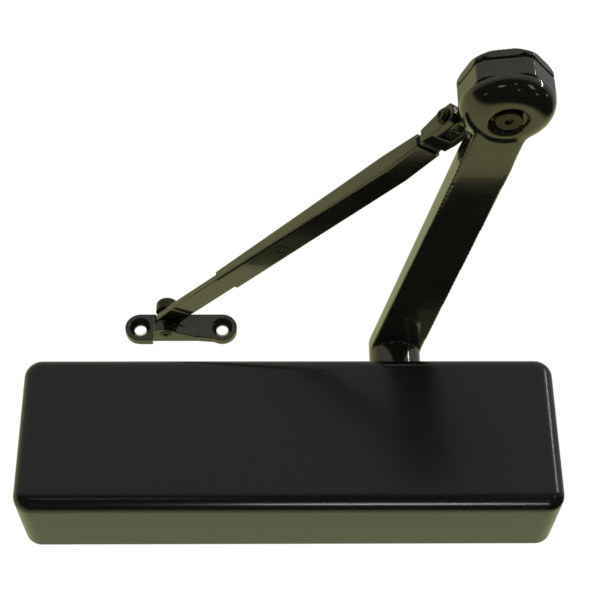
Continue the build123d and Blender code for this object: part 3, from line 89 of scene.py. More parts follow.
# Cross recess of a cover screw, in shares of the head's radius.
WING_LENGTH = 1.3
WING_WIDTH = 0.26
WING_DEPTH = 0.7
POINT_RADIUS = 0.34
POINT_TIP_RADIUS = 0.12
POINT_DEPTH = 0.5
SCREWS_PER_END = 2
SCREW_SEED = 4

# Closing spring, in wire radii: rise of a closed turn, wire's middle from the seat at the
# start, and what both ends take of the room together.
CLOSED_RISE = 2.06
START_GAP = 1.1
END_GAPS = 2.2
POINTS_PER_TURN = 36

# Needle bearings: the pinion's journal, the needles' running gap and their share of the cup.
JOURNAL_RADIUS = 9.0 * MM
NEEDLE_GAP = 0.06 * MM
NEEDLE_SHARE = 0.72


def srgb(code):
    """Linear RGBA of an sRGB hex colour such as #1c1d1a."""
    channels = [int(code[i : i + 2], 16) / 255 for i in (1, 3, 5)]
    linear = [c / 12.92 if c <= 0.04045 else ((c + 0.055) / 1.055) ** 2.4 for c in channels]
    return (*linear, 1.0)


def grain(size_mm):
    """Texture scale that gives features of about this size on Object coordinates in metres."""
    return 1000 / size_mm


# ---- what a user may change ----------------------------------------------------


def colour(name, description, code):
    """A colour property with its default given as an sRGB hex code."""
    return FloatVectorProperty(
        name=name, description=description, subtype="COLOR", size=4, min=0, max=1, default=srgb(code)
    )


class CloserColours(bpy.types.PropertyGroup):
    """Colours of the closer's finishes."""

    powder: colour("Cover powder", "Satin dark bronze powder on the pressed cover", "#121211")
    enamel: colour("Arm enamel", "Glossy statuary bronze enamel on the arms", "#57554b")
    hardware: colour("Hardware", "Darkened bronze plating on studs, rivets and screws", "#4f4c3c")
    casting: colour("Casting paint", "Grey primer on the sand-cast cylinder", "#56585a")
    steel: colour("Machined steel", "Turned and ground steel", "#b9babb")
    spring: colour("Spring wire", "Oil-tempered spring wire", "#3d3f44")
    rubber: colour("Seal rubber", "Moulded nitrile rubber", "#151515")
    floor: colour("Floor", "Pale studio floor", "#f1f0ec")
    backdrop: colour("Backdrop", "Pale screen behind the door side, as the gloss sees it", "#c4c797")


class CloserSizes(bpy.types.PropertyGroup):
    """Sizes of the pieces that are made here."""

    arm_voxel: FloatProperty(
        name="Arm mesh size",
        description="Grid size of the main arm's smoothed forging",
        default=0.62 * MM,
        min=0.4 * MM,
        unit="LENGTH",
    )
    elbow_voxel: FloatProperty(
        name="Elbow mesh size",
        description="Grid size of the elbow head and its nut",
        default=0.36 * MM,
        min=0.25 * MM,
        unit="LENGTH",
    )
    knuckle_voxel: FloatProperty(
        name="Knuckle mesh size",
        description="Grid size of the knuckle fork, its rivet, the shoe and the studs",
        default=0.26 * MM,
        min=0.2 * MM,
        unit="LENGTH",
    )
    screw_head_radius: FloatProperty(
        name="Screw head radius",
        description="Radius of a countersunk cover screw at its face",
        default=4.0 * MM,
        unit="LENGTH",
    )
    screw_shank_radius: FloatProperty(
        name="Screw shank radius",
        description="Radius of a cover screw's shank",
        default=2.0 * MM,
        unit="LENGTH",
    )
    screw_length: FloatProperty(
        name="Screw length",
        description="Length of a cover screw from its face to its tip",
        default=8.0 * MM,
        unit="LENGTH",
    )
    needle_count: IntProperty(
        name="Needles", description="Needle rollers in each pinion bearing", default=36, min=8
    )
    needle_radius: FloatProperty(
        name="Needle radius", description="Radius of one needle roller", default=0.72 * MM, unit="LENGTH"
    )
    spring_turns: IntProperty(
        name="Spring turns",
        description="Turns of the closing spring, closed ends included",
        default=14,
        min=4,
    )
    wire_radius: FloatProperty(
        name="Wire radius", description="Radius of the spring wire", default=2.4 * MM, unit="LENGTH"
    )
    coil_radius: FloatProperty(
        name="Coil radius", description="Mean radius of the spring", default=15.0 * MM, unit="LENGTH"
    )


class CloserStage(bpy.types.PropertyGroup):
    """Camera and floor."""

    camera_place: FloatVectorProperty(
        name="Camera place",
        description="Where the camera stands",
        subtype="TRANSLATION",
        unit="LENGTH",
        default=(-0.00648, -0.80835, -0.35093),
    )
    camera_pitch: FloatProperty(
        name="Camera pitch",
        description="Angle that the camera looks up",
        subtype="ANGLE",
        default=radians(30.16),
    )
    camera_yaw: FloatProperty(
        name="Camera yaw", description="Turn about the upright", subtype="ANGLE", default=radians(-1.01)
    )
    camera_roll: FloatProperty(
        name="Camera roll",
        description="Turn about the line of sight",
        subtype="ANGLE",
        default=radians(-0.52),
    )
    lens: FloatProperty(
        name="Lens", description="Focal length on a 36 mm sensor", subtype="DISTANCE_CAMERA", default=86.62
    )
    floor_height: FloatProperty(
        name="Floor height", description="Height of the floor", unit="LENGTH", default=-1.2
    )
    floor_half_width: FloatProperty(
        name="Floor half width", description="Half of the floor's side", unit="LENGTH", default=6.0
    )


# ---- materials -----------------------------------------------------------------


def add_node(tree, kind, inputs=None, **settings):
    """Add a node with its settings; an input is a constant or another node's output socket."""
    node = tree.nodes.new(kind)
    for name, value in settings.items():
        setattr(node, name, value)
    for name, value in (inputs or {}).items():
        socket = node.inputs[name]
        if isinstance(value, bpy.types.NodeSocket):
            tree.links.new(value, socket)
        else:
            socket.default_value = value
    return node


def start_material(name, shader):
    """A new material whose Principled shader has these constants: its tree, shader and place.

    The place is the Object coordinates, for the patterns.
    """
    material = bpy.data.materials.new(name)
    material.use_nodes = True
    tree = material.node_tree
    tree.nodes.clear()
    bsdf = add_node(tree, "ShaderNodeBsdfPrincipled", shader)
    add_node(tree, "ShaderNodeOutputMaterial", {"Surface": bsdf.outputs["BSDF"]})
    place = add_node(tree, "ShaderNodeTexCoord").outputs["Object"]
    return material, tree, bsdf, place


def darker(colour, share):
    """A colour taken down to a share of itself."""
    return [channel * share for channel in colour[:3]] + [1.0]


def dress(tree, bsdf, field, pale, share, smooth, rough):
    """Let one field run the shader's colour, from dark to pale, and its roughness, from smooth to rough."""
    tint = add_node(
        tree,
        "ShaderNodeMix",
        {"Factor": field, "A": darker(pale, share), "B": list(pale)},
        data_type="RGBA",
    )
    span = add_node(tree, "ShaderNodeMapRange", {"Value": field, "To Min": smooth, "To Max": rough})
    tree.links.new(tint.outputs["Result"], bsdf.inputs["Base Color"])
    tree.links.new(span.outputs["Result"], bsdf.inputs["Roughness"])


def cloud(tree, place, size_mm, detail=3.0):
    """An uneven field with patches of this size, from 0 to 1."""
    noise = add_node(
        tree, "ShaderNodeTexNoise", {"Vector": place, "Scale": grain(size_mm), "Detail": detail}
    )
    # Noise keeps to the middle of its range, so the middle is spread out.
    spread = add_node(
        tree, "ShaderNodeMapRange", {"Value": noise.outputs["Fac"], "From Min": 0.3, "From Max": 0.7}
    )
    return spread.outputs["Result"]


def skin(tree, bsdf, place, size_mm, detail, depth_mm, strength):
    """A surface of rounded grains of this size and depth: its field, which also bumps the shader."""
    field = cloud(tree, place, size_mm, detail)
    bump = add_node(
        tree, "ShaderNodeBump", {"Height": field, "Distance": depth_mm * MM, "Strength": strength}
    )
    tree.links.new(bump.outputs["Normal"], bsdf.inputs["Normal"])
    return field


def powder_coat(colours):
    """Polyester powder baked on pressed steel: near black, satin, with a fine pebbled skin."""
    material, tree, bsdf, place = start_material(
        "satin_powder_coat", {"IOR": 1.5, "Coat Weight": 0.25, "Coat Roughness": 0.16}
    )
    # The real pebble is 0.3 mm wide; it is drawn at 1.1 mm so that it shows.
    pebble = skin(tree, bsdf, place, size_mm=1.1, detail=3.0, depth_mm=0.02, strength=0.35)
    dress(tree, bsdf, pebble, colours.powder, share=0.6, smooth=0.2, rough=0.27)
    return material


def bronze_enamel(colours):
    """Baked bronze-flake enamel over forged steel: dark, glossy and slightly wavy."""
    material, tree, bsdf, place = start_material(
        "statuary_bronze_enamel", {"Metallic": 0.92, "Coat Weight": 0.5, "Coat Roughness": 0.03}
    )
    # Orange peel of the sprayed coat, 2.5 mm from crest to crest.
    skin(tree, bsdf, place, size_mm=2.5, detail=1.0, depth_mm=0.02, strength=0.3)
    # Flakes of 0.1 mm are too fine to show; their drift is drawn as patches of 12 mm.
    dress(tree, bsdf, cloud(tree, place, size_mm=12.0), colours.enamel, share=0.84, smooth=0.1, rough=0.15)
    return material


def bronze_plating(colours):
    """Darkened bronze plating on turned steel: rubbed a little lighter in patches."""
    material, tree, bsdf, place = start_material("dark_bronze_plating", {"Metallic": 1.0})
    # Tool rings 0.1 mm apart, drawn as 0.8 mm grains.
    skin(tree, bsdf, place, size_mm=0.8, detail=1.0, depth_mm=0.01, strength=0.3)
    dress(tree, bsdf, cloud(tree, place, size_mm=6.0), colours.hardware, share=0.6, smooth=0.2, rough=0.34)
    return material


def casting_primer(colours):
    """Matt grey primer over a sand casting: pitted skin with darker hollows."""
    material, tree, bsdf, place = start_material("primed_sand_casting", {"IOR": 1.5})
    # Sand grains of 0.5 mm, drawn at 1.2 mm.
    sand = skin(tree, bsdf, place, size_mm=1.2, detail=5.0, depth_mm=0.15, strength=0.7)
    stain = cloud(tree, place, size_mm=18.0)
    both = add_node(tree, "ShaderNodeMath", {0: sand, 1: stain}, operation="MULTIPLY")
    dress(tree, bsdf, both.outputs["Value"], colours.casting, share=0.55, smooth=0.5, rough=0.68)
    return material


def machined_steel(colours):
    """Bare steel, turned and ground: bright, with fine tool lines and an oil film."""
    material, tree, bsdf, place = start_material("ground_steel", {"Metallic": 1.0})
    # Tool lines 0.1 mm apart, drawn at 0.7 mm and stretched round the upright.
    squeeze = add_node(tree, "ShaderNodeMapping", {"Vector": place, "Scale": (0.15, 0.15, 1.0)})
    squeezed = squeeze.outputs["Vector"]
    lines = skin(tree, bsdf, squeezed, size_mm=0.7, detail=2.0, depth_mm=0.01, strength=0.4)
    dress(tree, bsdf, lines, colours.steel, share=0.8, smooth=0.2, rough=0.36)
    return material


def spring_steel(colours):
    """Oil-tempered wire: blue-black scale with brighter drawn streaks."""
    material, tree, bsdf, place = start_material("oil_tempered_wire", {"Metallic": 1.0})
    # Scale in patches of 3 mm.
    scale = skin(tree, bsdf, place, size_mm=3.0, detail=4.0, depth_mm=0.03, strength=0.4)
    dress(tree, bsdf, scale, colours.spring, share=0.6, smooth=0.3, rough=0.48)
    return material


def seal_rubber(colours):
    """Moulded nitrile rubber: black, with a dull bloom."""
    material, tree, bsdf, place = start_material("moulded_nitrile", {"IOR": 1.52})
    dress(tree, bsdf, cloud(tree, place, size_mm=4.0), colours.rubber, share=0.7, smooth=0.5, rough=0.62)
    return material


def studio_floor(colours):
    """Matt painted studio floor, plain and pale."""
    material, tree, bsdf, place = start_material("painted_studio_floor", {})
    dress(tree, bsdf, cloud(tree, place, size_mm=400.0), colours.floor, share=0.98, smooth=0.85, rough=0.9)
    return material


MAKERS = {
    "cover_finish": powder_coat,
    "arm_finish": bronze_enamel,
    "dark_hardware": bronze_plating,
    "body_casting": casting_primer,
    "bright_steel": machined_steel,
    "spring_steel": spring_steel,
    "seal_rubber": seal_rubber,
}
made_finishes = {}


def finish_of(slot_name):
    """The material of one of the record's slots, made once."""
    if slot_name not in made_finishes:
        made_finishes[slot_name] = MAKERS[slot_name](bpy.context.scene.closer_colours)
    return made_finishes[slot_name]


# ---- pieces --------------------------------------------------------------------

SLOT_OF = {part["node"]: part["material_slot"] for part in frame["record"]["subparts"]}
BODIES = frame["record"]["behaviour"]["bodies"]
BODY_OF = {node: body for body, nodes in BODIES.items() for node in nodes}


def paint(*nodes):
    """Give CAD nodes whose shape is right the finish of their slot."""
    for name in nodes:
        mesh = frame["nodes"][name].data
        mesh.materials.clear()
        mesh.materials.append(finish_of(SLOT_OF[name]))


def keep_as_piece(name, mesh, node):
    """Link a finished mesh as a piece that stands for a CAD node."""
    piece = bpy.data.objects.new(name, mesh)
    bpy.context.scene.collection.objects.link(piece)
    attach(piece, BODY_OF[node])
    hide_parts(node)
    return piece


def evaluated_mesh(source):
    """Plain mesh of an object with its modifiers in place, which are then removed."""
    bpy.context.view_layer.update()
    graph = bpy.context.evaluated_depsgraph_get()
    mesh = bpy.data.meshes.new_from_object(source.evaluated_get(graph))
    source.modifiers.clear()
    bpy.data.objects.remove(source)
    if not mesh.polygons:
        raise RuntimeError("a piece came out with no faces")
    return mesh


def merge_doubles(mesh, turn_outwards):
    """Merge doubles and, where asked, point every face outwards."""
    work = bmesh.new()
    work.from_mesh(mesh)
    bmesh.ops.remove_doubles(work, verts=work.verts, dist=MERGE_DISTANCE)
    if turn_outwards:
        bmesh.ops.recalc_face_normals(work, faces=work.faces)
    work.to_mesh(mesh)
    work.free()


def soften(node, name, voxel, rounds, blend=None):
    """Piece for a forged or cast node: its shape on a fine grid, with all its edges smoothed.

    A blend is a centre, a radius and more rounds, which smooth a junction within that reach.
    """
    source = bpy.data.objects.new(name + "_work", frame["nodes"][node].data.copy())
    bpy.context.scene.collection.objects.link(source)
    merge_doubles(source.data, turn_outwards=False)
    remesh = source.modifiers.new("grid", "REMESH")
    remesh.mode = "VOXEL"
    remesh.voxel_size = voxel
    remesh.use_smooth_shade = True
    smooth = source.modifiers.new("edges", "SMOOTH")
    smooth.iterations = rounds
    mesh = evaluated_mesh(source)
    if blend:
        mesh = blend_junction(mesh, name, *blend)
    mesh.materials.clear()
    mesh.materials.append(finish_of(SLOT_OF[node]))
    mesh.shade_smooth()
    return keep_as_piece(name, mesh, node)


def blend_junction(mesh, name, centre, reach, rounds):
    """The mesh, with its surface smoothed again near a point and less so towards the reach."""
    source = bpy.data.objects.new(name + "_blend", mesh)
    bpy.context.scene.collection.objects.link(source)
    near = source.vertex_groups.new(name="near")
    for vertex in mesh.vertices:
        share = 1 - (vertex.co - centre).length / reach
        if share > 0:
            near.add([vertex.index], min(1.0, 2 * share), "REPLACE")
    smooth = source.modifiers.new("blend", "SMOOTH")
    smooth.iterations = rounds
    smooth.vertex_group = near.name
    return evaluated_mesh(source)


# ---- geometry nodes ------------------------------------------------------------


def start_tree(name, sizes):
    """Geometry tree with named inputs: the tree and its group input node."""
    tree = bpy.data.node_groups.new(name, "GeometryNodeTree")
    kinds = {int: "NodeSocketInt", float: "NodeSocketFloat", Vector: "NodeSocketVector"}
    for label, value in sizes.items():
        tree.interface.new_socket(label, in_out="INPUT", socket_type=kinds[type(value)])
    tree.interface.new_socket("Finish", in_out="INPUT", socket_type="NodeSocketMaterial")
    tree.interface.new_socket("Geometry", in_out="OUTPUT", socket_type="NodeSocketGeometry")
    return tree, add_node(tree, "NodeGroupInput")


def end_tree(tree, group, geometry):
    """Close a tree: smooth shading, instances made real, and the finish set."""
    shaded = add_node(tree, "GeometryNodeSetShadeSmooth", {"Geometry": geometry, "Shade Smooth": True})
    real = add_node(tree, "GeometryNodeRealizeInstances", {"Geometry": shaded.outputs["Geometry"]})
    dressed = add_node(
        tree,
        "GeometryNodeSetMaterial",
        {"Geometry": real.outputs["Geometry"], "Material": group.outputs["Finish"]},
    )
    add_node(tree, "NodeGroupOutput", {"Geometry": dressed.outputs["Geometry"]})


def run_tree(tree, name, sizes, slot_name):
    """Run a tree on an empty mesh with these sizes and return the plain mesh that it makes."""
    source = bpy.data.objects.new(name + "_work", bpy.data.meshes.new(name))
    bpy.context.scene.collection.objects.link(source)
    modifier = source.modifiers.new(name, "NODES")
    modifier.node_group = tree
    wanted = {**sizes, "Finish": finish_of(slot_name)}
    for item in tree.interface.items_tree:
        if item.in_out == "INPUT":
            modifier[item.identifier] = wanted[item.name]
    mesh = evaluated_mesh(source)
    merge_doubles(mesh, turn_outwards=True)
    return mesh


def cover_screw_tree(sizes):
    """Countersunk cross-recess screws, one line of them in each end of the cover."""
    tree, group = start_tree("cover_screws", sizes)
    size = group.outputs
    head = add_node(
        tree,
        "GeometryNodeMeshCone",
        {
            "Vertices": 48,
            "Radius Bottom": size["Head radius"],
            "Radius Top": size["Shank radius"],
            "Depth": size["Cone depth"],
        },
    ).outputs["Mesh"]
    shank = add_node(
        tree,
        "GeometryNodeMeshCylinder",
        {"Vertices": 48, "Radius": size["Shank radius"], "Depth": size["Length"]},
    ).outputs["Mesh"]
    shank = add_node(
        tree, "GeometryNodeTransform", {"Geometry": shank, "Translation": size["Shank middle"]}
    ).outputs["Geometry"]
    screw = add_node(tree, "GeometryNodeMeshBoolean", operation="UNION")
    tree.links.new(head, screw.inputs["Mesh 2"])
    tree.links.new(shank, screw.inputs["Mesh 2"])
    recess = add_node(tree, "GeometryNodeMeshBoolean", operation="DIFFERENCE")
    tree.links.new(screw.outputs["Mesh"], recess.inputs["Mesh 1"])
    for label in ("Wing", "Cross wing"):
        wing = add_node(tree, "GeometryNodeMeshCube", {"Size": size[label]}).outputs["Mesh"]
        tree.links.new(wing, recess.inputs["Mesh 2"])
    point = add_node(
        tree,
        "GeometryNodeMeshCone",
        {
            "Vertices": 24,
            "Radius Bottom": size["Point radius"],
            "Radius Top": size["Point tip radius"],
            "Depth": size["Point depth"],
        },
    ).outputs["Mesh"]
    tree.links.new(point, recess.inputs["Mesh 2"])
    lying = add_node(
        tree,
        "GeometryNodeTransform",
        {"Geometry": recess.outputs["Mesh"], "Rotation": (0.0, pi / 2, 0.0)},
    ).outputs["Geometry"]
    both_ends = add_node(tree, "GeometryNodeJoinGeometry")
    for label, heading in (("Left start", 0.0), ("Right start", pi)):
        row = add_node(
            tree,
            "GeometryNodeMeshLine",
            {"Count": size["Per end"], "Start Location": size[label], "Offset": size["Step"]},
        ).outputs["Mesh"]
        roll = add_node(
            tree,
            "FunctionNodeRandomValue",
            {"Min": 0.0, "Max": pi / 2, "Seed": size["Seed"]},
            data_type="FLOAT",
        )
        turn = add_node(
            tree, "ShaderNodeCombineXYZ", {"X": next(s for s in roll.outputs if s.enabled), "Z": heading}
        ).outputs["Vector"]
        placed = add_node(
            tree, "GeometryNodeInstanceOnPoints", {"Points": row, "Instance": lying, "Rotation": turn}
        ).outputs["Instances"]
        tree.links.new(placed, both_ends.inputs["Geometry"])
    end_tree(tree, group, both_ends.outputs["Geometry"])
    return tree


def needle_tree(sizes):
    """Needle rollers in a ring round the pinion's journal, in each of two cups."""
    tree, group = start_tree("needle_rollers", sizes)
    size = group.outputs
    needle = add_node(
        tree,
        "GeometryNodeMeshCylinder",
        {"Vertices": 12, "Radius": size["Needle radius"], "Depth": size["Needle length"]},
    ).outputs["Mesh"]
    ring = add_node(
        tree, "GeometryNodeMeshCircle", {"Vertices": size["Count"], "Radius": size["Ring radius"]}
    ).outputs["Mesh"]
    both_cups = add_node(tree, "GeometryNodeJoinGeometry")
    for label in ("Lower centre", "Upper centre"):
        moved = add_node(tree, "GeometryNodeTransform", {"Geometry": ring, "Translation": size[label]})
        placed = add_node(
            tree, "GeometryNodeInstanceOnPoints", {"Points": moved.outputs["Geometry"], "Instance": needle}
        ).outputs["Instances"]
        tree.links.new(placed, both_cups.inputs["Geometry"])
    end_tree(tree, group, both_cups.outputs["Geometry"])
    return tree


def spring_tree(sizes):
    """Compression spring along X whose first and last turns are closed against the next one."""
    tree, group = start_tree("closing_spring", sizes)
    size = group.outputs
    line = add_node(tree, "GeometryNodeCurvePrimitiveLine").outputs["Curve"]
    line = add_node(
        tree, "GeometryNodeResampleCurve", {"Curve": line, "Count": size["Points"]}
    ).outputs["Curve"]
    along = add_node(tree, "GeometryNodeSplineParameter").outputs["Factor"]
    turn = add_node(
        tree, "ShaderNodeMath", {0: along, 1: size["Turns"]}, operation="MULTIPLY"
    ).outputs["Value"]
    angle = add_node(tree, "ShaderNodeMath", {0: turn, 1: 2 * pi}, operation="MULTIPLY").outputs["Value"]
    travel = 0.0
    for first, last, rise in (
        (0.0, 1.0, size["Closed rise"]),
        (1.0, size["Last turn"], size["Open rise"]),
        (size["Last turn"], size["Turns"], size["Closed rise"]),
    ):
        part = add_node(
            tree, "ShaderNodeMapRange", {"Value": turn, "From Min": first, "From Max": last, "To Max": rise}
        ).outputs["Result"]
        travel = add_node(tree, "ShaderNodeMath", {0: part, 1: travel}, operation="ADD").outputs["Value"]
    cosine = add_node(tree, "ShaderNodeMath", {0: angle}, operation="COSINE").outputs["Value"]
    sine = add_node(tree, "ShaderNodeMath", {0: angle}, operation="SINE").outputs["Value"]
    circle = add_node(tree, "ShaderNodeCombineXYZ", {"Y": cosine, "Z": sine}).outputs["Vector"]
    wound = add_node(
        tree, "ShaderNodeVectorMath", {0: circle, "Scale": size["Coil radius"]}, operation="SCALE"
    ).outputs["Vector"]
    advance = add_node(tree, "ShaderNodeCombineXYZ", {"X": travel}).outputs["Vector"]
    helix = add_node(
        tree, "ShaderNodeVectorMath", {0: wound, 1: advance}, operation="ADD"
    ).outputs["Vector"]
    centred = add_node(
        tree, "ShaderNodeVectorMath", {0: helix, 1: size["Start"]}, operation="ADD"
    ).outputs["Vector"]
    coil = add_node(tree, "GeometryNodeSetPosition", {"Geometry": line, "Position": centred})
    wire = add_node(
        tree, "GeometryNodeCurvePrimitiveCircle", {"Resolution": 16, "Radius": size["Wire radius"]}
    ).outputs["Curve"]
    body = add_node(
        tree,
        "GeometryNodeCurveToMesh",
        {"Curve": coil.outputs["Geometry"], "Profile Curve": wire, "Fill Caps": True},
    )
    end_tree(tree, group, body.outputs["Mesh"])
    return tree


# ---- operators -----------------------------------------------------------------


def direction_from(elevation, bearing):
    """Unit vector out of the door side: elevation above the level, bearing towards +X from -Y."""
    level = cos(elevation)
    return Vector((level * sin(bearing), -level * cos(bearing), sin(elevation)))


def add_lamp(name, target, direction, distance, size, power, upright=False):
    """Rectangular lamp at a distance from a target, facing it, with its long side level or upright."""
    data = bpy.data.lights.new(name, "AREA")
    data.shape = "RECTANGLE"
    data.size, data.size_y = size
    data.energy = power
    lamp = bpy.data.objects.new(name, data)
    bpy.context.scene.collection.objects.link(lamp)
    lamp.location = Vector(target) + direction * distance
    lamp.rotation_mode = "QUATERNION"
    lamp.rotation_quaternion = direction.to_track_quat("Z", "X" if upright else "Y")
    lamp.visible_camera = False
    return lamp


SENSOR_WIDTH = 36.0

LAMP_DISTANCE = 0.9
EDGE_LAMP_X = 0.09
EDGE_LAMP_ELEVATION = radians(-64)
EDGE_LAMP_BEARING = 0.12
EDGE_LAMP_SIZE = (0.34, 0.012)
EDGE_LAMP_POWER = 1.4
SIDE_LAMP_ELEVATION = radians(25)
SIDE_LAMP_BEARING = radians(59)
SIDE_LAMP_SIZE = (0.5, 0.012)
SIDE_LAMP_POWER = 1.2
CARD_SIZE = (0.44, 0.05)
CARD_DISTANCE = 0.25

# Ceiling lamps of the room, low in the polished eye's reflection: elevation and bearing in
# degrees, then width and height in metres.
DOME_LAMP_DISTANCE = 1.3
DOME_LAMP_POWER_PER_AREA = 12
DOME_LAMPS = (
    (-34.8, -64.1, 0.12, 0.03),
    (-25.4, -19.5, 0.3, 0.04),
    (-19.8, 12.4, 0.05, 0.05),
    (-46.4, 25.8, 0.1, 0.03),
    (-14.8, 47.0, 0.3, 0.04),
    (-20.8, 52.0, 0.25, 0.03),
    (-31.9, 73.1, 0.12, 0.03),
    (-5.4, 92.1, 0.08, 0.05),
)


class CLOSER_OT_stage(bpy.types.Operator):
    """Make the camera, the pale floor and the soft studio light"""

    bl_idname = "closer.stage"
    bl_label = "Stage"

    def execute(self, context):
        stage = context.scene.closer_stage
        self.add_camera(context, stage)
        self.add_floor(context, stage)
        self.add_surroundings(context)
        self.add_lamps(context)
        # Plain display colours, so that the white surroundings stay white.
        context.scene.view_settings.view_transform = "Standard"
        return {"FINISHED"}

    def add_camera(self, context, stage):
        data = bpy.data.cameras.new("camera")
        data.lens = stage.lens
        data.sensor_width = SENSOR_WIDTH
        camera = bpy.data.objects.new("camera", data)
        context.scene.collection.objects.link(camera)
        pitch, yaw, roll = stage.camera_pitch, stage.camera_yaw, stage.camera_roll
        forward = Vector((-sin(yaw) * cos(pitch), cos(yaw) * cos(pitch), sin(pitch)))
        right = Vector((cos(yaw), sin(yaw), 0.0))
        up = right.cross(forward)
        side = right * cos(roll) + up * sin(roll)
        top = up * cos(roll) - right * sin(roll)
        turn = Matrix((side, top, -forward)).transposed().to_4x4()
        camera.matrix_world = Matrix.Translation(stage.camera_place) @ turn
        context.scene.camera = camera

    def add_floor(self, context, stage):
        half = stage.floor_half_width
        work = bmesh.new()
        bmesh.ops.create_grid(work, x_segments=8, y_segments=8, size=half)
        mesh = bpy.data.meshes.new("studio_floor")
        work.to_mesh(mesh)
        work.free()
        mesh.transform(Matrix.Translation((0, 0, stage.floor_height)))
        mesh.materials.append(studio_floor(context.scene.closer_colours))
        floor = bpy.data.objects.new("studio_floor", mesh)
        context.scene.collection.objects.link(floor)
        floor.visible_glossy = False

    def add_surroundings(self, context):
        """A pale screen on the door side, a dim ceiling towards the room and dark below it."""
        world = bpy.data.worlds.new("studio")
        context.scene.world = world
        world.use_nodes = True
        tree = world.node_tree
        tree.nodes.clear()
        look = add_node(tree, "ShaderNodeTexCoord").outputs["Generated"]
        axis = add_node(tree, "ShaderNodeSeparateXYZ", {"Vector": look}).outputs
        # The screen wraps round the hinge side, so it is measured along a leaning axis.
        lean = add_node(tree, "ShaderNodeMath", {0: axis["X"], 1: -0.45}, operation="MULTIPLY")
        leaning = add_node(
            tree, "ShaderNodeMath", {0: axis["Y"], 1: lean.outputs["Value"]}, operation="ADD"
        )
        screen = add_node(
            tree,
            "ShaderNodeMapRange",
            {"Value": leaning.outputs["Value"], "From Min": 0.3, "From Max": 0.6},
            interpolation_type="SMOOTHSTEP",
        ).outputs["Result"]
        ceiling = add_node(
            tree,
            "ShaderNodeMapRange",
            {"Value": axis["Z"], "From Min": -0.02, "From Max": 0.35, "To Min": 0.004, "To Max": 0.34},
            interpolation_type="SMOOTHSTEP",
        ).outputs["Result"]
        room = add_node(tree, "ShaderNodeCombineColor", {"Red": ceiling, "Green": ceiling, "Blue": ceiling})
        in_gloss = add_node(
            tree,
            "ShaderNodeMix",
            {
                "Factor": screen,
                "A": room.outputs["Color"],
                "B": list(context.scene.closer_colours.backdrop),
            },
            data_type="RGBA",
        ).outputs["Result"]
        rays = add_node(tree, "ShaderNodeLightPath").outputs
        by_light = add_node(
            tree,
            "ShaderNodeMix",
            {"Factor": rays["Is Glossy Ray"], "A": list(srgb("#e7e7e6")), "B": in_gloss},
            data_type="RGBA",
        ).outputs["Result"]
        by_eye = add_node(
            tree,
            "ShaderNodeMix",
            {"Factor": rays["Is Camera Ray"], "A": by_light, "B": list(srgb("#ffffff"))},
            data_type="RGBA",
        ).outputs["Result"]
        light = add_node(tree, "ShaderNodeBackground", {"Color": by_eye})
        add_node(tree, "ShaderNodeOutputWorld", {"Surface": light.outputs["Background"]})

    def add_flag(self, context, lamp_place, shaded):
        """A black card that keeps the edge lamp out of the polished eye's reflection."""
        away = (shaded - lamp_place).normalized()
        work = bmesh.new()
        bmesh.ops.create_grid(work, x_segments=1, y_segments=1, size=0.5)
        mesh = bpy.data.meshes.new("lamp_flag")
        work.to_mesh(mesh)
        work.free()
        turn = away.to_track_quat("Z", "Y").to_matrix().to_4x4()
        mesh.transform(Matrix.Diagonal((*CARD_SIZE, 1.0, 1.0)))
        mesh.transform(Matrix.Translation(lamp_place + away * CARD_DISTANCE) @ turn)
        card = start_material("black_card", {"Base Color": srgb("#000000"), "Roughness": 1.0})[0]
        mesh.materials.append(card)
        flag = bpy.data.objects.new("lamp_flag", mesh)
        context.scene.collection.objects.link(flag)
        flag.visible_camera = False

    def add_lamps(self, context):
        low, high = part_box("elbow_head")
        elbow = (low + high) / 2
        low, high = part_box("cover")
        low_front_edge = Vector((EDGE_LAMP_X, low.y, low.z))
        below = direction_from(EDGE_LAMP_ELEVATION, EDGE_LAMP_BEARING)
        add_lamp("edge_lamp", low_front_edge, below, LAMP_DISTANCE, EDGE_LAMP_SIZE, EDGE_LAMP_POWER)
        self.add_flag(context, low_front_edge + below * LAMP_DISTANCE, elbow)
        right_edge = Vector((high.x, low.y, 0.0))
        side = direction_from(SIDE_LAMP_ELEVATION, SIDE_LAMP_BEARING)
        add_lamp(
            "side_lamp", right_edge, side, LAMP_DISTANCE, SIDE_LAMP_SIZE, SIDE_LAMP_POWER, upright=True
        )
        for count, (elevation, bearing, width, height) in enumerate(DOME_LAMPS):
            direction = direction_from(radians(elevation), radians(bearing))
            power = DOME_LAMP_POWER_PER_AREA * width * height
            add_lamp(f"dome_lamp_{count}", elbow, direction, DOME_LAMP_DISTANCE, (width, height), power)


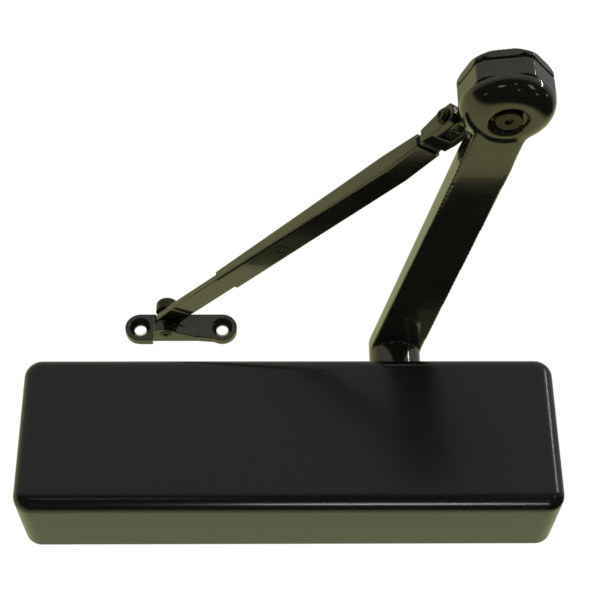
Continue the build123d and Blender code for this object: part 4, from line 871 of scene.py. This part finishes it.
class CLOSER_OT_cover(bpy.types.Operator):
    """Finish the pressed cover and put its countersunk screws in both ends"""

    bl_idname = "closer.cover"
    bl_label = "Cover and its screws"

    def execute(self, context):
        paint("cover")
        given = context.scene.closer_sizes
        low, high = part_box("cover_screws")
        head = given.screw_head_radius
        y = (low.y + high.y) / 2
        rise = high.z - low.z - 2 * head
        sizes = {
            "Head radius": head,
            "Shank radius": given.screw_shank_radius,
            "Length": given.screw_length,
            "Cone depth": head - given.screw_shank_radius,
            "Shank middle": Vector((0, 0, given.screw_length / 2)),
            "Wing": Vector((WING_LENGTH, WING_WIDTH, WING_DEPTH)) * head,
            "Cross wing": Vector((WING_WIDTH, WING_LENGTH, WING_DEPTH)) * head,
            "Point radius": POINT_RADIUS * head,
            "Point tip radius": POINT_TIP_RADIUS * head,
            "Point depth": POINT_DEPTH * head,
            "Left start": Vector((low.x, y, low.z + head)),
            "Right start": Vector((high.x, y, low.z + head)),
            "Per end": SCREWS_PER_END,
            "Step": Vector((0, 0, rise / (SCREWS_PER_END - 1))),
            "Seed": SCREW_SEED,
        }
        mesh = run_tree(cover_screw_tree(sizes), "cover_screws", sizes, SLOT_OF["cover_screws"])
        keep_as_piece("cross_recess_screws", mesh, "cover_screws")
        return {"FINISHED"}


class CLOSER_OT_cylinder(bpy.types.Operator):
    """Finish the cast cylinder, its caps, plug, gland nut, adjuster, valves and seals"""

    bl_idname = "closer.cylinder"
    bl_label = "Cylinder"

    def execute(self, context):
        paint("closer_body", "left_end_cap", "right_end_cap", "lower_plug", "gland_nut")
        paint("power_adjuster", "closing_speed_valve", "latch_speed_valve", "backcheck_valve")
        paint("cap_seals", "pinion_seal")
        return {"FINISHED"}


class CLOSER_OT_spring(bpy.types.Operator):
    """Wind the closing spring from its seat to the piston"""

    bl_idname = "closer.spring"
    bl_label = "Closing spring"

    def execute(self, context):
        given = context.scene.closer_sizes
        low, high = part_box("closer_spring")
        seat_face = low.x
        free_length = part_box("piston")[0].x - seat_face
        wire = given.wire_radius
        closed_rise = CLOSED_RISE * wire
        sizes = {
            "Turns": float(given.spring_turns),
            "Last turn": given.spring_turns - 1.0,
            "Points": POINTS_PER_TURN * given.spring_turns,
            "Closed rise": closed_rise,
            "Open rise": free_length - END_GAPS * wire - 2 * closed_rise,
            "Coil radius": given.coil_radius,
            "Wire radius": wire,
            "Start": Vector((seat_face + START_GAP * wire, (low.y + high.y) / 2, 0)),
        }
        mesh = run_tree(spring_tree(sizes), "closing_spring", sizes, "spring_steel")
        piece = keep_as_piece("closing_spring", mesh, "closer_spring")
        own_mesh(piece)
        return {"FINISHED"}


class CLOSER_OT_drive(bpy.types.Operator):
    """Finish the piston, pinion and bearings, and fill the bearings with needles"""

    bl_idname = "closer.drive"
    bl_label = "Piston, pinion and bearings"

    def execute(self, context):
        paint("piston", "check_ball", "check_plug", "spring_seat", "pinion")
        paint("lower_bearing", "upper_bearing")
        given = context.scene.closer_sizes
        lower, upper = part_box("lower_bearing"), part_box("upper_bearing")
        sizes = {
            "Count": given.needle_count,
            "Needle radius": given.needle_radius,
            "Needle length": (lower[1].z - lower[0].z) * NEEDLE_SHARE,
            "Ring radius": JOURNAL_RADIUS + given.needle_radius + NEEDLE_GAP,
            "Lower centre": (lower[0] + lower[1]) / 2,
            "Upper centre": (upper[0] + upper[1]) / 2,
        }
        mesh = run_tree(needle_tree(sizes), "needle_rollers", sizes, "bright_steel")
        needles = bpy.data.objects.new("needle_rollers", mesh)
        context.scene.collection.objects.link(needles)
        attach(needles, "closer_body")
        return {"FINISHED"}


class CLOSER_OT_main_arm(bpy.types.Operator):
    """Forge the main arm and finish the screw and washer that hold it"""

    bl_idname = "closer.main_arm"
    bl_label = "Main arm"

    def execute(self, context):
        spindle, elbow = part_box("pinion"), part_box("elbow_stud")
        spindle_axis = (spindle[0] + spindle[1]) / 2
        eye = (elbow[0] + elbow[1]) / 2
        back = Vector((spindle_axis.x - eye.x, spindle_axis.y - eye.y, 0)).normalized()
        neck = Vector((eye.x, eye.y, elbow[0].z + NECK_RISE)) + back * NECK_BACK
        blend = (neck, NECK_REACH, NECK_ROUNDS)
        soften("main_arm", "arm_forging", context.scene.closer_sizes.arm_voxel, ARM_ROUNDS, blend)
        paint("spindle_washer", "spindle_screw")
        return {"FINISHED"}


class CLOSER_OT_elbow(bpy.types.Operator):
    """Make the hold-open elbow: head, nut, stud and the detent inside it"""

    bl_idname = "closer.elbow"
    bl_label = "Hold-open elbow"

    def execute(self, context):
        given = context.scene.closer_sizes
        soften("elbow_head", "elbow_head_casting", given.elbow_voxel, ELBOW_ROUNDS)
        soften("hold_open_nut", "hold_open_nut_casting", given.elbow_voxel, ELBOW_ROUNDS)
        soften("elbow_stud", "elbow_rivet", given.knuckle_voxel, RIVET_ROUNDS)
        paint("nut_washer", "detent_disc", "roller_cage", "detent_rollers", "spring_washer")
        return {"FINISHED"}


class CLOSER_OT_forearm(bpy.types.Operator):
    """Make the knuckle, its rivet, the formed tube and the flat rod"""

    bl_idname = "closer.forearm"
    bl_label = "Knuckle and forearm"

    def execute(self, context):
        given = context.scene.closer_sizes
        soften("knuckle_fork", "knuckle_forging", given.knuckle_voxel, FORK_ROUNDS)
        soften("knuckle_pin", "knuckle_rivet", given.knuckle_voxel, RIVET_ROUNDS)
        paint("forearm_tube", "rod_lock_screw", "forearm_rod")
        return {"FINISHED"}


class CLOSER_OT_shoe(bpy.types.Operator):
    """Make the frame shoe and its round-headed stud"""

    bl_idname = "closer.shoe"
    bl_label = "Frame shoe"

    def execute(self, context):
        given = context.scene.closer_sizes
        soften("shoe", "shoe_casting", given.knuckle_voxel, FORK_ROUNDS)
        soften("shoe_stud", "shoe_rivet", given.knuckle_voxel, RIVET_ROUNDS)
        paint("shoe_washer")
        return {"FINISHED"}


STEPS = (
    CLOSER_OT_stage,
    CLOSER_OT_cover,
    CLOSER_OT_cylinder,
    CLOSER_OT_spring,
    CLOSER_OT_drive,
    CLOSER_OT_main_arm,
    CLOSER_OT_elbow,
    CLOSER_OT_forearm,
    CLOSER_OT_shoe,
)


class CLOSER_PT_panel(bpy.types.Panel):
    """Lists the steps that build the closer"""

    bl_idname = "CLOSER_PT_panel"
    bl_label = "Door closer"
    bl_space_type = "VIEW_3D"
    bl_region_type = "UI"
    bl_category = "Closer"

    def draw(self, context):
        for step in STEPS:
            self.layout.operator(step.bl_idname)


CLASSES = (CloserColours, CloserSizes, CloserStage, *STEPS, CLOSER_PT_panel)
SETTINGS = {
    "closer_colours": CloserColours,
    "closer_sizes": CloserSizes,
    "closer_stage": CloserStage,
}


def register():
    """Register the classes and hang their settings on the scene."""
    for cls in CLASSES:
        bpy.utils.register_class(cls)
    for name, group in SETTINGS.items():
        setattr(bpy.types.Scene, name, PointerProperty(type=group))


def unregister():
    """Take the settings and the classes away again."""
    for name in SETTINGS:
        delattr(bpy.types.Scene, name)
    for cls in reversed(CLASSES):
        bpy.utils.unregister_class(cls)


def main():
    """Build the closer."""
    register()
    for step in STEPS:
        family, name = step.bl_idname.split(".")
        getattr(getattr(bpy.ops, family), name)()


if __name__ == "__main__":
    main()
